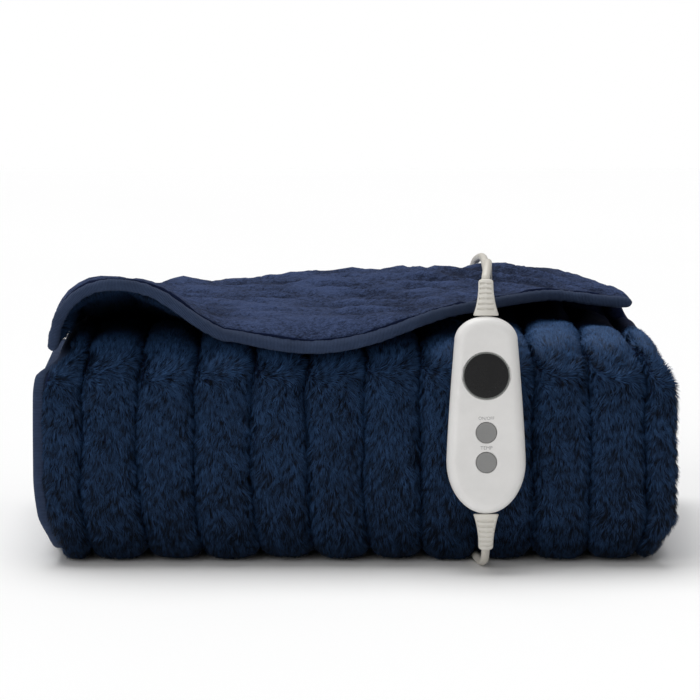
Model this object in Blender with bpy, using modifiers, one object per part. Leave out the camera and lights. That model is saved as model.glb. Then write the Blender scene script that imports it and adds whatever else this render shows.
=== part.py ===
"""Folded electric heated throw with its hand control, cords and plug.

The throw is a quilted sheet, plush on one face and smooth fleece on the other, folded back and forth
in layers. Its outermost turn wraps the front, and the last layer is a flap with the fleece up, whose
bound edge swags over the front. Metres, X to the right, Y to the back, Z up, the floor at z = 0.
"""
import math

import bmesh
import bpy
import numpy as np
from mathutils import Matrix

# ---------------------------------------------------------------- driving dimensions
CENTRE_X = 0.00025             # middle of the object without its cords: the frame's origin in x and y
CENTRE_Y = -0.0197

GAP = 0.0003                   # air between pieces that touch

# Blanket: widths are measured at the height where the pile is widest
LEFT_RIM = -0.2025             # long bound edge
RIGHT_RIM = 0.2125             # long folded edge
CHANNEL = 0.0372               # width of one sewn channel
FIRST_SEAM = -0.1788           # seam beside the left edge
CHANNELS = 10                  # full channels between FIRST_SEAM and the right fold
LAYER_PITCH = 0.0253           # from one folded layer to the next
FLOOR_LAYER = 0.0105           # height of the lowest layer's middle
CROWN = 0.0105                 # half thickness at the middle of a channel
SEAM = 0.0030                  # half thickness at a seam
FLAP_CROWN = 0.0055            # the flap's plush side, which hangs underneath
FLAP_BACK = 0.0045             # the flap's fleece side
BEND_SLIM = 0.80               # the filling thins where the sheet turns round
FLAP_BEND_SLIM = 0.64          # and more where the top layer turns over into the flap
FRONT_START = -0.095           # where the layers end and the front wrap begins to curve
FRONT_BULGE = 0.0395           # how far the wrap's middle stands out from there
WRAP_POWER = 2.6               # squareness of the wrap's upper shoulder
FOOT_POWER = 4.0               # squareness of its foot, which its weight presses flat
FLAP_LOW = 0.1545              # height of the flap's middle at the left and along the back
FLAP_RISE = 0.010              # how much higher it lies at the right
RISE_X = (-0.050, 0.080)       # where across the flap it rises

# Folds, each with its centre line and the two layers that it joins, counted from the floor
FOLDS = (
    # name, y, lower layer, upper layer, steps
    ("front_inner_top", -0.0925, 3, 4, 3),
    ("back_middle", 0.1080, 2, 3, 5),
    ("front_inner_low", -0.0905, 1, 2, 3),
    ("back_low", 0.1115, 0, 1, 5),
)
END_EDGE_Y = 0.1150            # free end edge of the sheet, in the fourth layer
FLAP_FOLD_Y = 0.1050           # where the top layer turns over into the flap

# Flap edge: how far it reaches over the front shoulder, negative where it lies short of it
FLAP_REACH = (
    # x, reach
    (-0.200, 0.024), (-0.100, 0.024), (-0.085, 0.020), (-0.066, 0.028), (-0.042, 0.034),
    (-0.023, 0.037), (-0.002, 0.037), (0.022, 0.033), (0.044, 0.022), (0.062, 0.006),
    (0.080, -0.017), (0.095, -0.038), (0.112, -0.062), (0.130, -0.080), (0.150, -0.084),
    (0.215, -0.078),
)
CURL_START = -0.085            # from here to the left the flap lifts off the pile
CURL_PEAK = (-0.158, 0.1845)   # x and height of the lifted flap at its front edge
CURL_END = (-0.1975, 0.137)    # x and height of its front left corner
HANG_X = -0.1965               # the flap's end that hangs beside the pile
HANG_BEND = 0.016              # radius with which it turns down there
CURL_PULL = 0.042              # how much wider the flap's front corner is pulled out
CURL_HANDLES = ((-0.030, 0.012), (0.032, 0.0), (-0.026, 0.0), (0.0, 0.026))   # of its two bends
CURL_FROM = 0.42               # part of the flap's reach from where its left side lifts
RISE_PART = 0.35               # part of the flap's reach in which its right side rises
BACK_PULL = 0.012              # how much wider the flap is pulled behind the curl
BACK_PULL_PART = 0.30
CURL_BLEND = 0.050             # width over which the curl takes the flap's height beside it

# The settled pile. Its upper layers narrow, its top swells at the back and its corners sink.
TOP_NARROWING = 0.055          # share of its width that the pile loses towards its top
TOP_NARROWING_Z = (0.112, 0.167)
TUCK = 0.012                   # how far the left edge slips in under the flap
TUCK_Z = (0.123, 0.134)
SHOULDER = 0.012               # how far the right fold draws in towards its top
SHOULDER_X = 0.150
SHOULDER_Z = (0.110, 0.155)
FOOT_SHIFT = 0.006             # how far the left channels slip right at their foot
FOOT_SHIFT_Z = 0.060
FOOT_SHIFT_X = (-0.050, 0.100)
SWELL = (
    # x, how much higher the flap lies along the back
    (-0.110, 0.0), (-0.080, 0.002), (-0.050, 0.004), (-0.030, 0.0065), (0.035, 0.0085), (0.078, 0.0093),
    (0.120, 0.0070), (0.142, 0.0042), (0.163, 0.0020), (0.184, 0.0), (0.215, 0.0),
)
SWELL_Y = (-0.015, 0.075)      # none in front of the first, all of it behind the second
SINK = 0.090                   # share of its height that the back right corner loses
SINK_X = (0.130, 0.188)
SINK_Y = (-0.0925, 0.1250)     # evenly from the front folds to the back folds, so the layers stay apart
FOOT_TUCK = 0.010              # how far the front wrap's two lower corners draw in
FOOT_TUCK_Z = (0.010, 0.034)
FOOT_TUCK_Y = (-0.100, -0.050)
FOOT_TUCK_X = 0.178

# Binding tape
TAPE_WIDTH = 0.0088
TAPE_THICK = 0.0072
TAPE_GAP = 0.0007              # the tape bends beside the cloth in short straight runs

# Hand control, in its own frame: z up from its lower end, y to its back
CONTROL_X = 0.0872
CONTROL_Y = -0.1626            # its seam plane at the lower end
CONTROL_Z = 0.0393
CONTROL_LEAN = math.radians(8)
CONTROL_LENGTH = 0.1288
CONTROL_HALF_WIDTH = 0.0258    # at its widest, near the lower end
CONTROL_TOP_HALF_WIDTH = 0.0206
LOWER_END = 0.034              # height of the elliptical lower end
UPPER_END = 0.016              # height of the elliptical upper end
CONTROL_HALF_DEPTH = 0.010
DISPLAY_Z = 0.0899
DISPLAY_RADIUS = 0.0153
DISPLAY_DEPTH = 0.0012
BUTTONS = (("button_power", 0.0529), ("button_temp", 0.0335))
BUTTON_RADIUS = 0.0066
BUTTON_SUNK = 0.0021
BUTTON_PROUD = 0.0005
BUTTON_TRAVEL = 0.0007
RELIEF_LENGTH = 0.0230
RELIEF_ROOT = (0.0085, 0.0060)  # half width and half depth at the control
RELIEF_TIP = (0.0049, 0.0045)

# Cords
CORD = 0.0055
CORD_Z = CORD / 2 + 0.0003     # height of a cord that lies on the floor
TOP_EXIT_LEAN = math.radians(35)      # the upper relief's end, backwards from upright
LOWER_EXIT_LEAN = math.radians(-33)   # the lower relief's end, backwards from straight down
GROOVE_X = 0.0818              # the groove under the blanket that the mains lead lies in
GROOVE_HALF = 0.0080           # half of its width, kept open by the lead
BLANKET_LEAD = (
    # x, y, z
    (0.0890, -0.1180, 0.1977), (0.0896, -0.1000, 0.1960), (0.0904, -0.0780, 0.1880),
    (0.0912, -0.0520, 0.1785), (0.0920, -0.0200, 0.1727), (0.0925, 0.0200, 0.1752),
    (0.0918, 0.0600, 0.1796), (0.0898, 0.0880, 0.1778), (0.0866, 0.1160, 0.1702),
)
CONNECTOR = (0.0845, 0.1309, 0.1117)  # middle of the connector at the end edge
CONNECTOR_HALF = (0.0150, 0.0060, 0.0110)
CONNECTOR_RELIEF = 0.020
MAINS_LEAD = (
    # x, y, z
    (0.0867, -0.1495, 0.0064), (0.0850, -0.1372, 0.0031), (0.0828, -0.1240, CORD_Z),
    (GROOVE_X, -0.1080, CORD_Z), (GROOVE_X, -0.0300, CORD_Z), (GROOVE_X, 0.0200, CORD_Z),
    (GROOVE_X, 0.0700, CORD_Z), (GROOVE_X, 0.1200, CORD_Z),
)
COIL_MIDDLE = 0.0300           # radius at the middle of the coil's turns
COIL_HALF = 0.0085             # half of its section: three turns by three
COIL_X = GROOVE_X - COIL_MIDDLE
COIL_Y = 0.1730
PLUG_NECK = (-0.0180, COIL_Y + COIL_MIDDLE, 0.0085)   # where the lead enters the plug's relief
PLUG_NECK_LENGTH = 0.022
PLUG_BODY_LENGTH = 0.030
PLUG_HALF_WIDTH = 0.0150
PLUG_HALF_DEPTH = 0.0080
PIN_LENGTH = 0.0170
PIN_HALF_WIDTH = 0.0031
PIN_HALF_THICK = 0.0008
PIN_SPREAD = 0.0069            # from the plug's middle to each pin
PIN_TURN = math.radians(30)    # the two pins slope towards each other

# ---------------------------------------------------------------- scene and materials
for old in list(bpy.data.objects):
    bpy.data.objects.remove(old, do_unlink=True)

PARTS = bpy.data.collections.new("heated_blanket")
CUTTERS = bpy.data.collections.new("cutters")
bpy.context.scene.collection.children.link(PARTS)
bpy.context.scene.collection.children.link(CUTTERS)

ORIGIN = bpy.data.objects.new("origin", None)
ORIGIN.location = (-CENTRE_X, -CENTRE_Y, 0)
PARTS.objects.link(ORIGIN)


def finish(name, colour, roughness, metallic=0.0):
    """A plain material with one colour."""
    made = bpy.data.materials.new(name)
    made.use_nodes = True
    shader = made.node_tree.nodes["Principled BSDF"]
    shader.inputs["Base Color"].default_value = (*colour, 1)
    shader.inputs["Roughness"].default_value = roughness
    shader.inputs["Metallic"].default_value = metallic
    return made


PLUSH = finish("plush", (0.011, 0.020, 0.072), 0.95)
TAPE = finish("binding_tape", (0.030, 0.045, 0.125), 0.85)
WHITE = finish("white_plastic", (0.78, 0.77, 0.75), 0.35)
CREAM = finish("cream_rubber", (0.80, 0.76, 0.70), 0.55)
DISPLAY = finish("dark_display", (0.020, 0.019, 0.020), 0.15)
GREY = finish("grey_button", (0.27, 0.27, 0.26), 0.45)
BRASS = finish("plated_pin", (0.72, 0.68, 0.60), 0.25, 1.0)


def place(name, mesh, material, parent=ORIGIN):
    """Puts a finished mesh into the parts as one named object."""
    made = bpy.data.objects.new(name, mesh)
    made.data.materials.append(material)
    made.parent = parent
    PARTS.objects.link(made)
    return made


def mesh_from(name, points, faces):
    """A mesh from points and faces, with its faces turned outwards."""
    made = bpy.data.meshes.new(name)
    made.from_pydata([tuple(p) for p in points], [], faces)
    work = bmesh.new()
    work.from_mesh(made)
    bmesh.ops.recalc_face_normals(work, faces=work.faces)
    work.to_mesh(made)
    work.free()
    made.shade_smooth()
    made.set_sharp_from_angle(angle=math.radians(40))
    return made


def loft(name, rings):
    """A closed solid through a row of rings that have equal numbers of points."""
    rows, sides = len(rings), len(rings[0])
    points = np.concatenate([np.asarray(ring, float) for ring in rings])
    faces = []
    for row in range(rows - 1):
        for side in range(sides):
            after = (side + 1) % sides
            faces.append((row * sides + side, row * sides + after,
                          (row + 1) * sides + after, (row + 1) * sides + side))
    faces.append(tuple(range(sides)))
    faces.append(tuple(range((rows - 1) * sides, rows * sides)))
    return mesh_from(name, points, faces)


def ease(value):
    """0 below 0, 1 above 1, and smooth between."""
    t = np.clip(value, 0, 1)
    return t * t * (3 - 2 * t)


def between(value, ends):
    """ease from the first of two ends to the second."""
    return ease((value - ends[0]) / (ends[1] - ends[0]))


def table(rows, value):
    """The second column of a two-column table, read at a value of the first."""
    columns = np.array(rows)
    return np.interp(value, columns[:, 0], columns[:, 1])


# ---------------------------------------------------------------- the sheet's fold line in Y and Z
def layer(number):
    return FLOOR_LAYER + number * LAYER_PITCH


WRAP_MIDDLE = (layer(0) + layer(5)) / 2


def half_turn(y, low, high, side, steps, downwards):
    """Points of a half circle between two heights; side is -1 at the front and 1 at the back."""
    radius = (high - low) / 2
    turn = np.linspace(-math.pi / 2, math.pi / 2, steps + 1)
    if downwards:
        turn = turn[::-1]
    return np.stack([y + side * radius * np.cos(turn), (low + high) / 2 + radius * np.sin(turn)], 1)


def wrap_profile(offset, height, steps, from_angle=-math.pi / 2):
    """The front wrap: a squared half ellipse from the floor layer up to the top, evenly stepped."""
    turn = np.linspace(from_angle, math.pi / 2, 400)
    power = 2 / np.where(turn < 0, FOOT_POWER, WRAP_POWER)
    y = FRONT_START - (FRONT_BULGE + offset) * np.abs(np.cos(turn)) ** power
    z = WRAP_MIDDLE + height * np.sign(np.sin(turn)) * np.abs(np.sin(turn)) ** power
    run = np.concatenate([[0], np.cumsum(np.hypot(np.diff(y), np.diff(z)))])
    even = np.linspace(0, run[-1], steps + 1)
    return np.stack([np.interp(even, run, y), np.interp(even, run, z)], 1)


def fold_line(wrap_steps=9, flap_fold_steps=5):
    """Middle line of the sheet from its end edge to the start of the flap: y, z and slimness."""
    points = [np.array([[END_EDGE_Y, layer(4)], [0.0, layer(4)]])]
    slim = [np.ones(2)]
    for name, y, low, high, steps in FOLDS:
        side = -1 if name.startswith("front") else 1
        bend = half_turn(y, layer(low), layer(high), side, steps, downwards=True)
        points.append(bend)
        slim.append(1 - (1 - BEND_SLIM) * np.sin(np.linspace(0, math.pi, len(bend))))
    points.append(np.array([[0.045, layer(0)], [-0.045, layer(0)]]))
    slim.append(np.ones(2))
    wrap = wrap_profile(0.0, layer(5) - WRAP_MIDDLE, wrap_steps)
    points.append(wrap)
    slim.append(np.ones(len(wrap)))
    points.append(np.array([[0.0, layer(5)]]))
    slim.append(np.ones(1))
    top = half_turn(FLAP_FOLD_Y, layer(5), FLAP_LOW, 1, flap_fold_steps, downwards=False)
    points.append(top)
    slim.append(1 - (1 - FLAP_BEND_SLIM) * np.sin(np.linspace(0, math.pi / 2, len(top))))
    return np.concatenate(points), np.concatenate(slim)


# ---------------------------------------------------------------- the sheet's width in X
def columns():
    """Each column's x where the pile is widest, and its place across its channel from 0 to 1."""
    across = (0.0, 0.15, 0.5, 0.85)
    first = FIRST_SEAM - LEFT_RIM
    rows = [(LEFT_RIM, 0.02), (LEFT_RIM + 0.25 * first, 0.25), (LEFT_RIM + 0.55 * first, 0.5),
            (LEFT_RIM + 0.82 * first, 0.85)]
    for number in range(CHANNELS):
        rows += [(FIRST_SEAM + (number + part) * CHANNEL, part) for part in across]
    last_seam = FIRST_SEAM + CHANNELS * CHANNEL
    last = RIGHT_RIM - last_seam
    rows += [(last_seam, 0.0), (last_seam + 0.26 * last, 0.15), (last_seam + 0.60 * last, 0.5),
             (last_seam + 0.88 * last, 0.5), (RIGHT_RIM, 0.10)]
    return np.array(rows)


def puff(across):
    """How full a channel is across its width: 0 at its seams and 1 in its middle."""
    return 1 - np.abs(2 * across - 1) ** 2.6


def leaned(x, z):
    """Where a column lies at a height: the pile narrows towards its top and slips right at its foot."""
    strip = np.clip((FIRST_SEAM - x) / (FIRST_SEAM - LEFT_RIM), 0, 1)
    fold = np.clip((x - SHOULDER_X) / (RIGHT_RIM - SHOULDER_X), 0, 1)
    shift = TUCK * strip * between(z, TUCK_Z) - SHOULDER * fold * between(z, SHOULDER_Z)
    shift = shift + FOOT_SHIFT * (1 - ease(z / FOOT_SHIFT_Z)) * (1 - between(x, FOOT_SHIFT_X))
    return x * (1 - TOP_NARROWING * between(z, TOP_NARROWING_Z)) + shift


def settled(points):
    """Swells the top along the back, sinks the back right corner and draws in the front lower corners."""
    x, y, z = np.moveaxis(points, -1, 0)
    swell = table(SWELL, x) * between(y, SWELL_Y) * np.clip((z - layer(5)) / (FLAP_LOW - layer(5)), 0, 1)
    sink = SINK * between(x, SINK_X) * np.clip((y - SINK_Y[0]) / (SINK_Y[1] - SINK_Y[0]), 0, 1)
    front_foot = (1 - between(y, FOOT_TUCK_Y)) * (1 - between(z, FOOT_TUCK_Z))
    ends = ease((np.abs(x) - FOOT_TUCK_X) / (RIGHT_RIM - FOOT_TUCK_X))
    return np.stack([x - FOOT_TUCK * np.sign(x) * front_foot * ends, y, z * (1 - sink) + swell], -1)


def bezier(start, leave, arrive, end, steps=60):
    """Points of a cubic from start to end with the two handles between."""
    t = np.linspace(0, 1, steps)[:, None]
    start, leave, arrive, end = (np.array(p, float) for p in (start, leave, arrive, end))
    return (1 - t) ** 3 * start + 3 * t * (1 - t) ** 2 * leave + 3 * t * t * (1 - t) * arrive + t ** 3 * end


def along(line, distance):
    """Points at given distances along a polyline, straight on past its end."""
    step = np.hypot(*np.diff(line, axis=0).T)
    run = np.concatenate([[0], np.cumsum(step)])
    beyond = np.maximum(distance - run[-1], 0)[..., None]
    direction = (line[-1] - line[-2]) / step[-1]
    point = np.stack([np.interp(distance, run, line[:, axis]) for axis in range(2)], -1)
    return point + beyond * direction


def flap_sections():
    """The flap from the curl's start to its left end: lying flat and hanging down, and lifted in a curl."""
    turn = np.linspace(0, math.pi / 2, 12)
    corner = HANG_X + HANG_BEND
    flat = np.stack([corner - HANG_BEND * np.sin(turn), FLAP_LOW - HANG_BEND * (1 - np.cos(turn))], 1)
    flat = np.concatenate([[[CURL_START, FLAP_LOW]], flat])
    start, peak, end = (np.array(point) for point in ((CURL_START, FLAP_LOW), CURL_PEAK, CURL_END))
    leave, over_in, over_out, arrive = (np.array(handle) for handle in CURL_HANDLES)
    rise = bezier(start, start + leave, peak + over_in, peak)
    drop = bezier(peak, peak + over_out, end + arrive, end)
    return flat, np.concatenate([rise, drop[1:]])


def flap_points(x, reach_part):
    """The flap's middle surface for a column at x and for parts of the way from its fold to its edge."""
    part = np.asarray(reach_part, float)
    rise = FLAP_RISE * between(x, RISE_X)
    flat_run = FLAP_FOLD_Y - FRONT_START
    distance = part * (flat_run + table(FLAP_REACH, x))
    end_height = FLAP_LOW + rise
    shoulder = wrap_profile(end_height - layer(5), end_height - WRAP_MIDDLE, 60, 0.0)[::-1]
    over = along(shoulder, np.maximum(distance - flat_run, 0))
    lying = distance <= flat_run
    y = np.where(lying, FLAP_FOLD_Y - distance, over[:, 0])
    z = np.where(lying, FLAP_LOW + rise * ease(part / RISE_PART), over[:, 1])
    return y, z


def flap_surface(base_x, parts):
    """Middle points of the flap: rows for the parts of its reach, columns across."""
    grid = np.zeros((len(parts), len(base_x), 3))
    start_z = flap_points(CURL_START, parts)[1]
    lift = ease((parts - CURL_FROM) / (1 - CURL_FROM))
    flat, curled = flap_sections()
    for column, x in enumerate(base_x):
        top_x = leaned(x, FLAP_LOW)
        y, z = flap_points(top_x, parts)
        across = np.full(len(parts), top_x)
        if top_x <= CURL_START:
            share = (CURL_START - top_x) / (CURL_START - leaned(LEFT_RIM, FLAP_LOW))
            back_pull = BACK_PULL * ease(parts / BACK_PULL_PART)
            distance = CURL_START - top_x + (back_pull + (CURL_PULL - BACK_PULL) * lift) * share
            section = along(flat, distance) * (1 - lift[:, None]) + along(curled, distance) * lift[:, None]
            fade = np.clip(1 - distance / CURL_BLEND, 0, 1)
            across, z = section[:, 0], section[:, 1] + (start_z - FLAP_LOW) * fade
        grid[:, column] = np.stack([across, y, z], 1)
    return grid


# ---------------------------------------------------------------- blanket
FLAP_STEPS = 7


def sheet_middle():
    """The sheet's middle surface, its slimness along the fold line and how much of it is flap."""
    line, slim = fold_line()
    base_x = columns()[:, 0]
    y, z = line[:, :1], line[:, 1:]
    folded = np.stack([leaned(base_x[None, :], z), np.broadcast_to(y, (len(line), len(base_x))),
                       np.broadcast_to(z, (len(line), len(base_x)))], 2)
    parts = np.linspace(0, 1, FLAP_STEPS + 1)[1:]
    middle = settled(np.concatenate([folded, flap_surface(base_x, parts)]))
    flap = np.concatenate([np.zeros(len(line)), np.ones(len(parts))])
    turned = np.linspace(0, 1, 6)
    flap[len(line) - 6:len(line)] = turned
    slim = np.concatenate([slim, np.ones(len(parts))])
    return middle, slim, flap


def normals_of(grid):
    """Unit normals of a grid of points, on the plush side."""
    down = np.gradient(grid, axis=0)
    over = np.gradient(grid, axis=1)
    normal = np.cross(over, down)
    return normal / np.linalg.norm(normal, axis=2, keepdims=True)


def sheet_faces(middle, slim, flap):
    """The plush face and the fleece face of the quilted sheet."""
    full = puff(columns()[:, 1])
    normal = normals_of(middle)
    plush = SEAM + (CROWN - SEAM) * full[None, :] * slim[:, None]
    plush_flap = SEAM + (FLAP_CROWN - SEAM) * full[None, :]
    fleece_flap = SEAM + (FLAP_BACK - SEAM) * full[None, :]
    share = flap[:, None]
    outer = middle + normal * (plush * (1 - share) + plush_flap * share)[..., None]
    inner = middle - normal * (plush * (1 - share) + fleece_flap * share)[..., None]
    outer[..., 2] = np.maximum(outer[..., 2], 0.0)
    x, across = columns().T
    pressed = (across >= 0.15) & (across <= 0.85) & (np.abs(x - GROOVE_X) > GROOVE_HALF)
    on_floor = np.abs(middle[:, 0, 2] - layer(0)) < 1e-6    # the left edge never sinks
    outer[np.ix_(on_floor, pressed, [2])] = 0.0
    return outer, inner


def closed_sheet(name, outer, inner):
    """One solid between two grids of points, closed round their rim."""
    rows, cols = outer.shape[:2]
    count = rows * cols
    number = np.arange(count).reshape(rows, cols)
    points = np.concatenate([outer.reshape(-1, 3), inner.reshape(-1, 3)])
    quads = np.stack([number[:-1, :-1], number[:-1, 1:], number[1:, 1:], number[1:, :-1]], -1)
    quads = quads.reshape(-1, 4)
    faces = quads.tolist() + (quads[:, ::-1] + count).tolist()
    rim = np.concatenate([number[0, :-1], number[:-1, -1], number[-1, :0:-1], number[:0:-1, 0]])
    for here, after in zip(rim, np.roll(rim, -1)):
        faces.append((after, here, here + count, after + count))
    return mesh_from(name, points, faces)


MIDDLE, SLIM, FLAP = sheet_middle()
OUTER, INNER = sheet_faces(MIDDLE, SLIM, FLAP)


def make_blanket():
    place("blanket", closed_sheet("blanket", OUTER, INNER), PLUSH)


# ---------------------------------------------------------------- binding tape
def tape_ring(point, outwards, upwards):
    """An eight-sided section of the tape that starts just outside a point of the cloth's edge."""
    half_width, half_thick = TAPE_WIDTH / 2, TAPE_THICK / 2
    section = ((-1, -0.55), (-0.6, -1), (0.55, -1), (1, -0.5), (1, 0.5), (0.55, 1), (-0.6, 1), (-1, 0.55))
    centre = point + outwards * (TAPE_GAP + half_width)
    return [centre + outwards * a * half_width + upwards * b * half_thick for a, b in section]


def tape_along(name, edge, outwards, upwards):
    """A tape that follows an edge of the cloth."""
    outwards = outwards - upwards * np.sum(outwards * upwards, axis=1, keepdims=True)
    outwards /= np.linalg.norm(outwards, axis=1, keepdims=True)
    rings = [tape_ring(p, o, u) for p, o, u in zip(edge, outwards, upwards)]
    return place(name, loft(name, rings), TAPE)


def make_bindings():
    normal = normals_of(MIDDLE)
    tape_along("binding_side", MIDDLE[:, 0], MIDDLE[:, 0] - MIDDLE[:, 1], normal[:, 0])
    for name, row, inner_row in (("binding_front", -1, -2), ("binding_end", 0, 1)):
        edge = MIDDLE[row].copy()
        outwards = MIDDLE[row] - MIDDLE[inner_row]
        upwards = normal[row].copy()
        start = edge[0] + (edge[0] - edge[1]) / np.linalg.norm(edge[0] - edge[1]) * (TAPE_WIDTH + TAPE_GAP)
        edge = np.concatenate([[start], edge])
        outwards = np.concatenate([outwards[:1], outwards])
        upwards = np.concatenate([upwards[:1], upwards])
        kept = np.arange(0, len(edge), 1 if row else 7)
        tape_along(name, edge[kept], outwards[kept], upwards[kept])


# ---------------------------------------------------------------- hand control
CONTROL = bpy.data.objects.new("control_pose", None)
CONTROL.location = (CONTROL_X, CONTROL_Y, CONTROL_Z)
CONTROL.rotation_euler = (-CONTROL_LEAN, 0, 0)
CONTROL.parent = ORIGIN
PARTS.objects.link(CONTROL)


def control_outline(inset):
    """The control's outline seen from the front: two elliptical ends and tapering sides."""
    low = [(CONTROL_HALF_WIDTH * math.sin(a), LOWER_END * (1 - math.cos(a)))
           for a in np.linspace(0, math.pi / 2, 9)]
    top_z = CONTROL_LENGTH - UPPER_END
    high = [(CONTROL_TOP_HALF_WIDTH * math.cos(a), top_z + UPPER_END * math.sin(a))
            for a in np.linspace(0, math.pi / 2, 7)]
    sides = [(CONTROL_HALF_WIDTH - (CONTROL_HALF_WIDTH - CONTROL_TOP_HALF_WIDTH) * t ** 1.25,
              LOWER_END + (top_z - LOWER_END) * t) for t in (0.25, 0.5, 0.75)]
    half = low + sides + high
    loop = np.array(half + [(-x, z) for x, z in half[-2:0:-1]])
    edge = np.roll(loop, -1, axis=0) - np.roll(loop, 1, axis=0)
    inwards = np.stack([-edge[:, 1], edge[:, 0]], 1)
    inwards /= np.linalg.norm(inwards, axis=1, keepdims=True)
    return loop + inwards * inset


def control_half(name, side):
    """One moulded half; side is -1 for the front and 1 for the back."""
    rings = []
    for depth, inset in ((GAP / 2, 0.0), (0.0045, 0.0003), (0.0075, 0.0014), (0.0092, 0.0034),
                         (CONTROL_HALF_DEPTH, 0.0070)):
        rings.append([(x, side * depth, z) for x, z in control_outline(inset)])
    return place(name, loft(name, rings), WHITE, CONTROL)


def disc(name, radius, height, sides=24):
    """A cylinder along local y, centred on its own origin."""
    work = bmesh.new()
    bmesh.ops.create_cone(work, cap_ends=True, segments=sides, radius1=radius, radius2=radius,
                          depth=height)
    bmesh.ops.rotate(work, verts=work.verts, matrix=Matrix.Rotation(math.pi / 2, 3, "X"))
    made = bpy.data.meshes.new(name)
    work.to_mesh(made)
    work.free()
    made.shade_smooth()
    made.set_sharp_from_angle(angle=math.radians(40))
    return made


def pocket(target, name, z, radius, depth):
    """Cuts a round pocket of a given depth into the control's front face."""
    cutter = bpy.data.objects.new(name, disc(name, radius, 2 * depth, 32))
    cutter.location = (0, -CONTROL_HALF_DEPTH, z)
    cutter.parent = CONTROL
    cutter.hide_render = True
    cutter.display_type = "WIRE"
    CUTTERS.objects.link(cutter)
    cut = target.modifiers.new(name, "BOOLEAN")
    cut.operation = "DIFFERENCE"
    cut.object = cutter


def make_control():
    front = control_half("control_front", -1)
    control_half("control_back", 1)
    pocket(front, "display_pocket", DISPLAY_Z, DISPLAY_RADIUS + GAP, DISPLAY_DEPTH)
    window_thick = DISPLAY_DEPTH - GAP
    window = place("display_window", disc("display_window", DISPLAY_RADIUS, window_thick, 32),
                   DISPLAY, CONTROL)
    window.location = (0, -CONTROL_HALF_DEPTH + window_thick / 2, DISPLAY_Z)
    for name, z in BUTTONS:
        pocket(front, name + "_pocket", z, BUTTON_RADIUS + GAP,
               BUTTON_SUNK + BUTTON_TRAVEL + GAP)
        height = BUTTON_SUNK + BUTTON_PROUD
        button = place(name, disc(name, BUTTON_RADIUS, height), GREY, CONTROL)
        button.location = (0, -CONTROL_HALF_DEPTH - BUTTON_PROUD + height / 2, z)
        rounded = button.modifiers.new("round", "BEVEL")
        rounded.width = 0.0003
        rounded.segments = 1


# ---------------------------------------------------------------- strain reliefs
def relief_line(start, first, last, length, steps=18):
    """Centre points and directions of a relief that bends evenly from one lean to another."""
    lean = np.linspace(first, last, steps + 1)
    middle = (lean[1:] + lean[:-1]) / 2
    step = length / steps
    y = start[1] + np.concatenate([[0], np.cumsum(np.sin(middle) * step)])
    z = start[2] + np.concatenate([[0], np.cumsum(np.cos(middle) * step)])
    points = np.stack([np.full(steps + 1, start[0]), y, z], 1)
    return points, np.stack([np.zeros(steps + 1), np.sin(lean), np.cos(lean)], 1)


def oval_rings(points, directions, halves, power=2.3, sides=12):
    """Rounded oval rings across a line in the Y-Z plane, wide along X."""
    rings = []
    angle = np.linspace(0, 2 * math.pi, sides, endpoint=False)
    wave = np.sign(np.cos(angle)) * np.abs(np.cos(angle)) ** (2 / power)
    rise = np.sign(np.sin(angle)) * np.abs(np.sin(angle)) ** (2 / power)
    for point, direction, (wide, deep) in zip(points, directions, halves):
        across = np.cross(direction, (1, 0, 0))
        rings.append(point + np.outer(wave * wide, (1, 0, 0)) + np.outer(rise * deep, across))
    return rings


def relief_halves(steps=18):
    """Half width and half depth along a relief: a flared root, then narrower, with ribs cut in."""
    halves = []
    for number in range(steps + 1):
        t = number / steps
        taper = (1 - t) ** 1.8
        rib = 0.0007 if 3 <= number < steps and number % 3 == 0 else 0.0
        halves.append((RELIEF_TIP[0] + (RELIEF_ROOT[0] - RELIEF_TIP[0]) * taper - rib,
                       RELIEF_TIP[1] + (RELIEF_ROOT[1] - RELIEF_TIP[1]) * taper - rib))
    return halves


def control_end(height):
    """A point of the control's axis in the throw's frame."""
    return (CONTROL_X, CONTROL_Y + height * math.sin(CONTROL_LEAN),
            CONTROL_Z + height * math.cos(CONTROL_LEAN))


TOP_LINE = relief_line(control_end(CONTROL_LENGTH + GAP), CONTROL_LEAN, TOP_EXIT_LEAN, RELIEF_LENGTH)
LOWER_LINE = relief_line(control_end(-GAP), math.pi + CONTROL_LEAN, math.pi + LOWER_EXIT_LEAN,
                         RELIEF_LENGTH)


def make_reliefs():
    for name, (points, directions) in (("relief_top", TOP_LINE), ("relief_bottom", LOWER_LINE)):
        place(name, loft(name, oval_rings(points, directions, relief_halves())), CREAM)


# ---------------------------------------------------------------- cords
def smooth_route(points, spacing):
    """A smooth curve through the points, read at even spacing."""
    points = np.array(points, float)
    ghost = np.concatenate([[2 * points[0] - points[1]], points, [2 * points[-1] - points[-2]]])
    t = np.linspace(0, 1, 24, endpoint=False)[:, None]
    runs = []
    for a, b, c, d in zip(ghost, ghost[1:], ghost[2:], ghost[3:]):
        runs.append(0.5 * (2 * b + (c - a) * t + (2 * a - 5 * b + 4 * c - d) * t ** 2
                           + (3 * b - a - 3 * c + d) * t ** 3))
    dense = np.concatenate(runs + [points[-1:]])
    run = np.concatenate([[0], np.cumsum(np.linalg.norm(np.diff(dense, axis=0), axis=1))])
    even = np.linspace(0, run[-1], max(2, round(run[-1] / spacing)) + 1)
    return np.stack([np.interp(even, run, dense[:, axis]) for axis in range(3)], 1)


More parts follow.
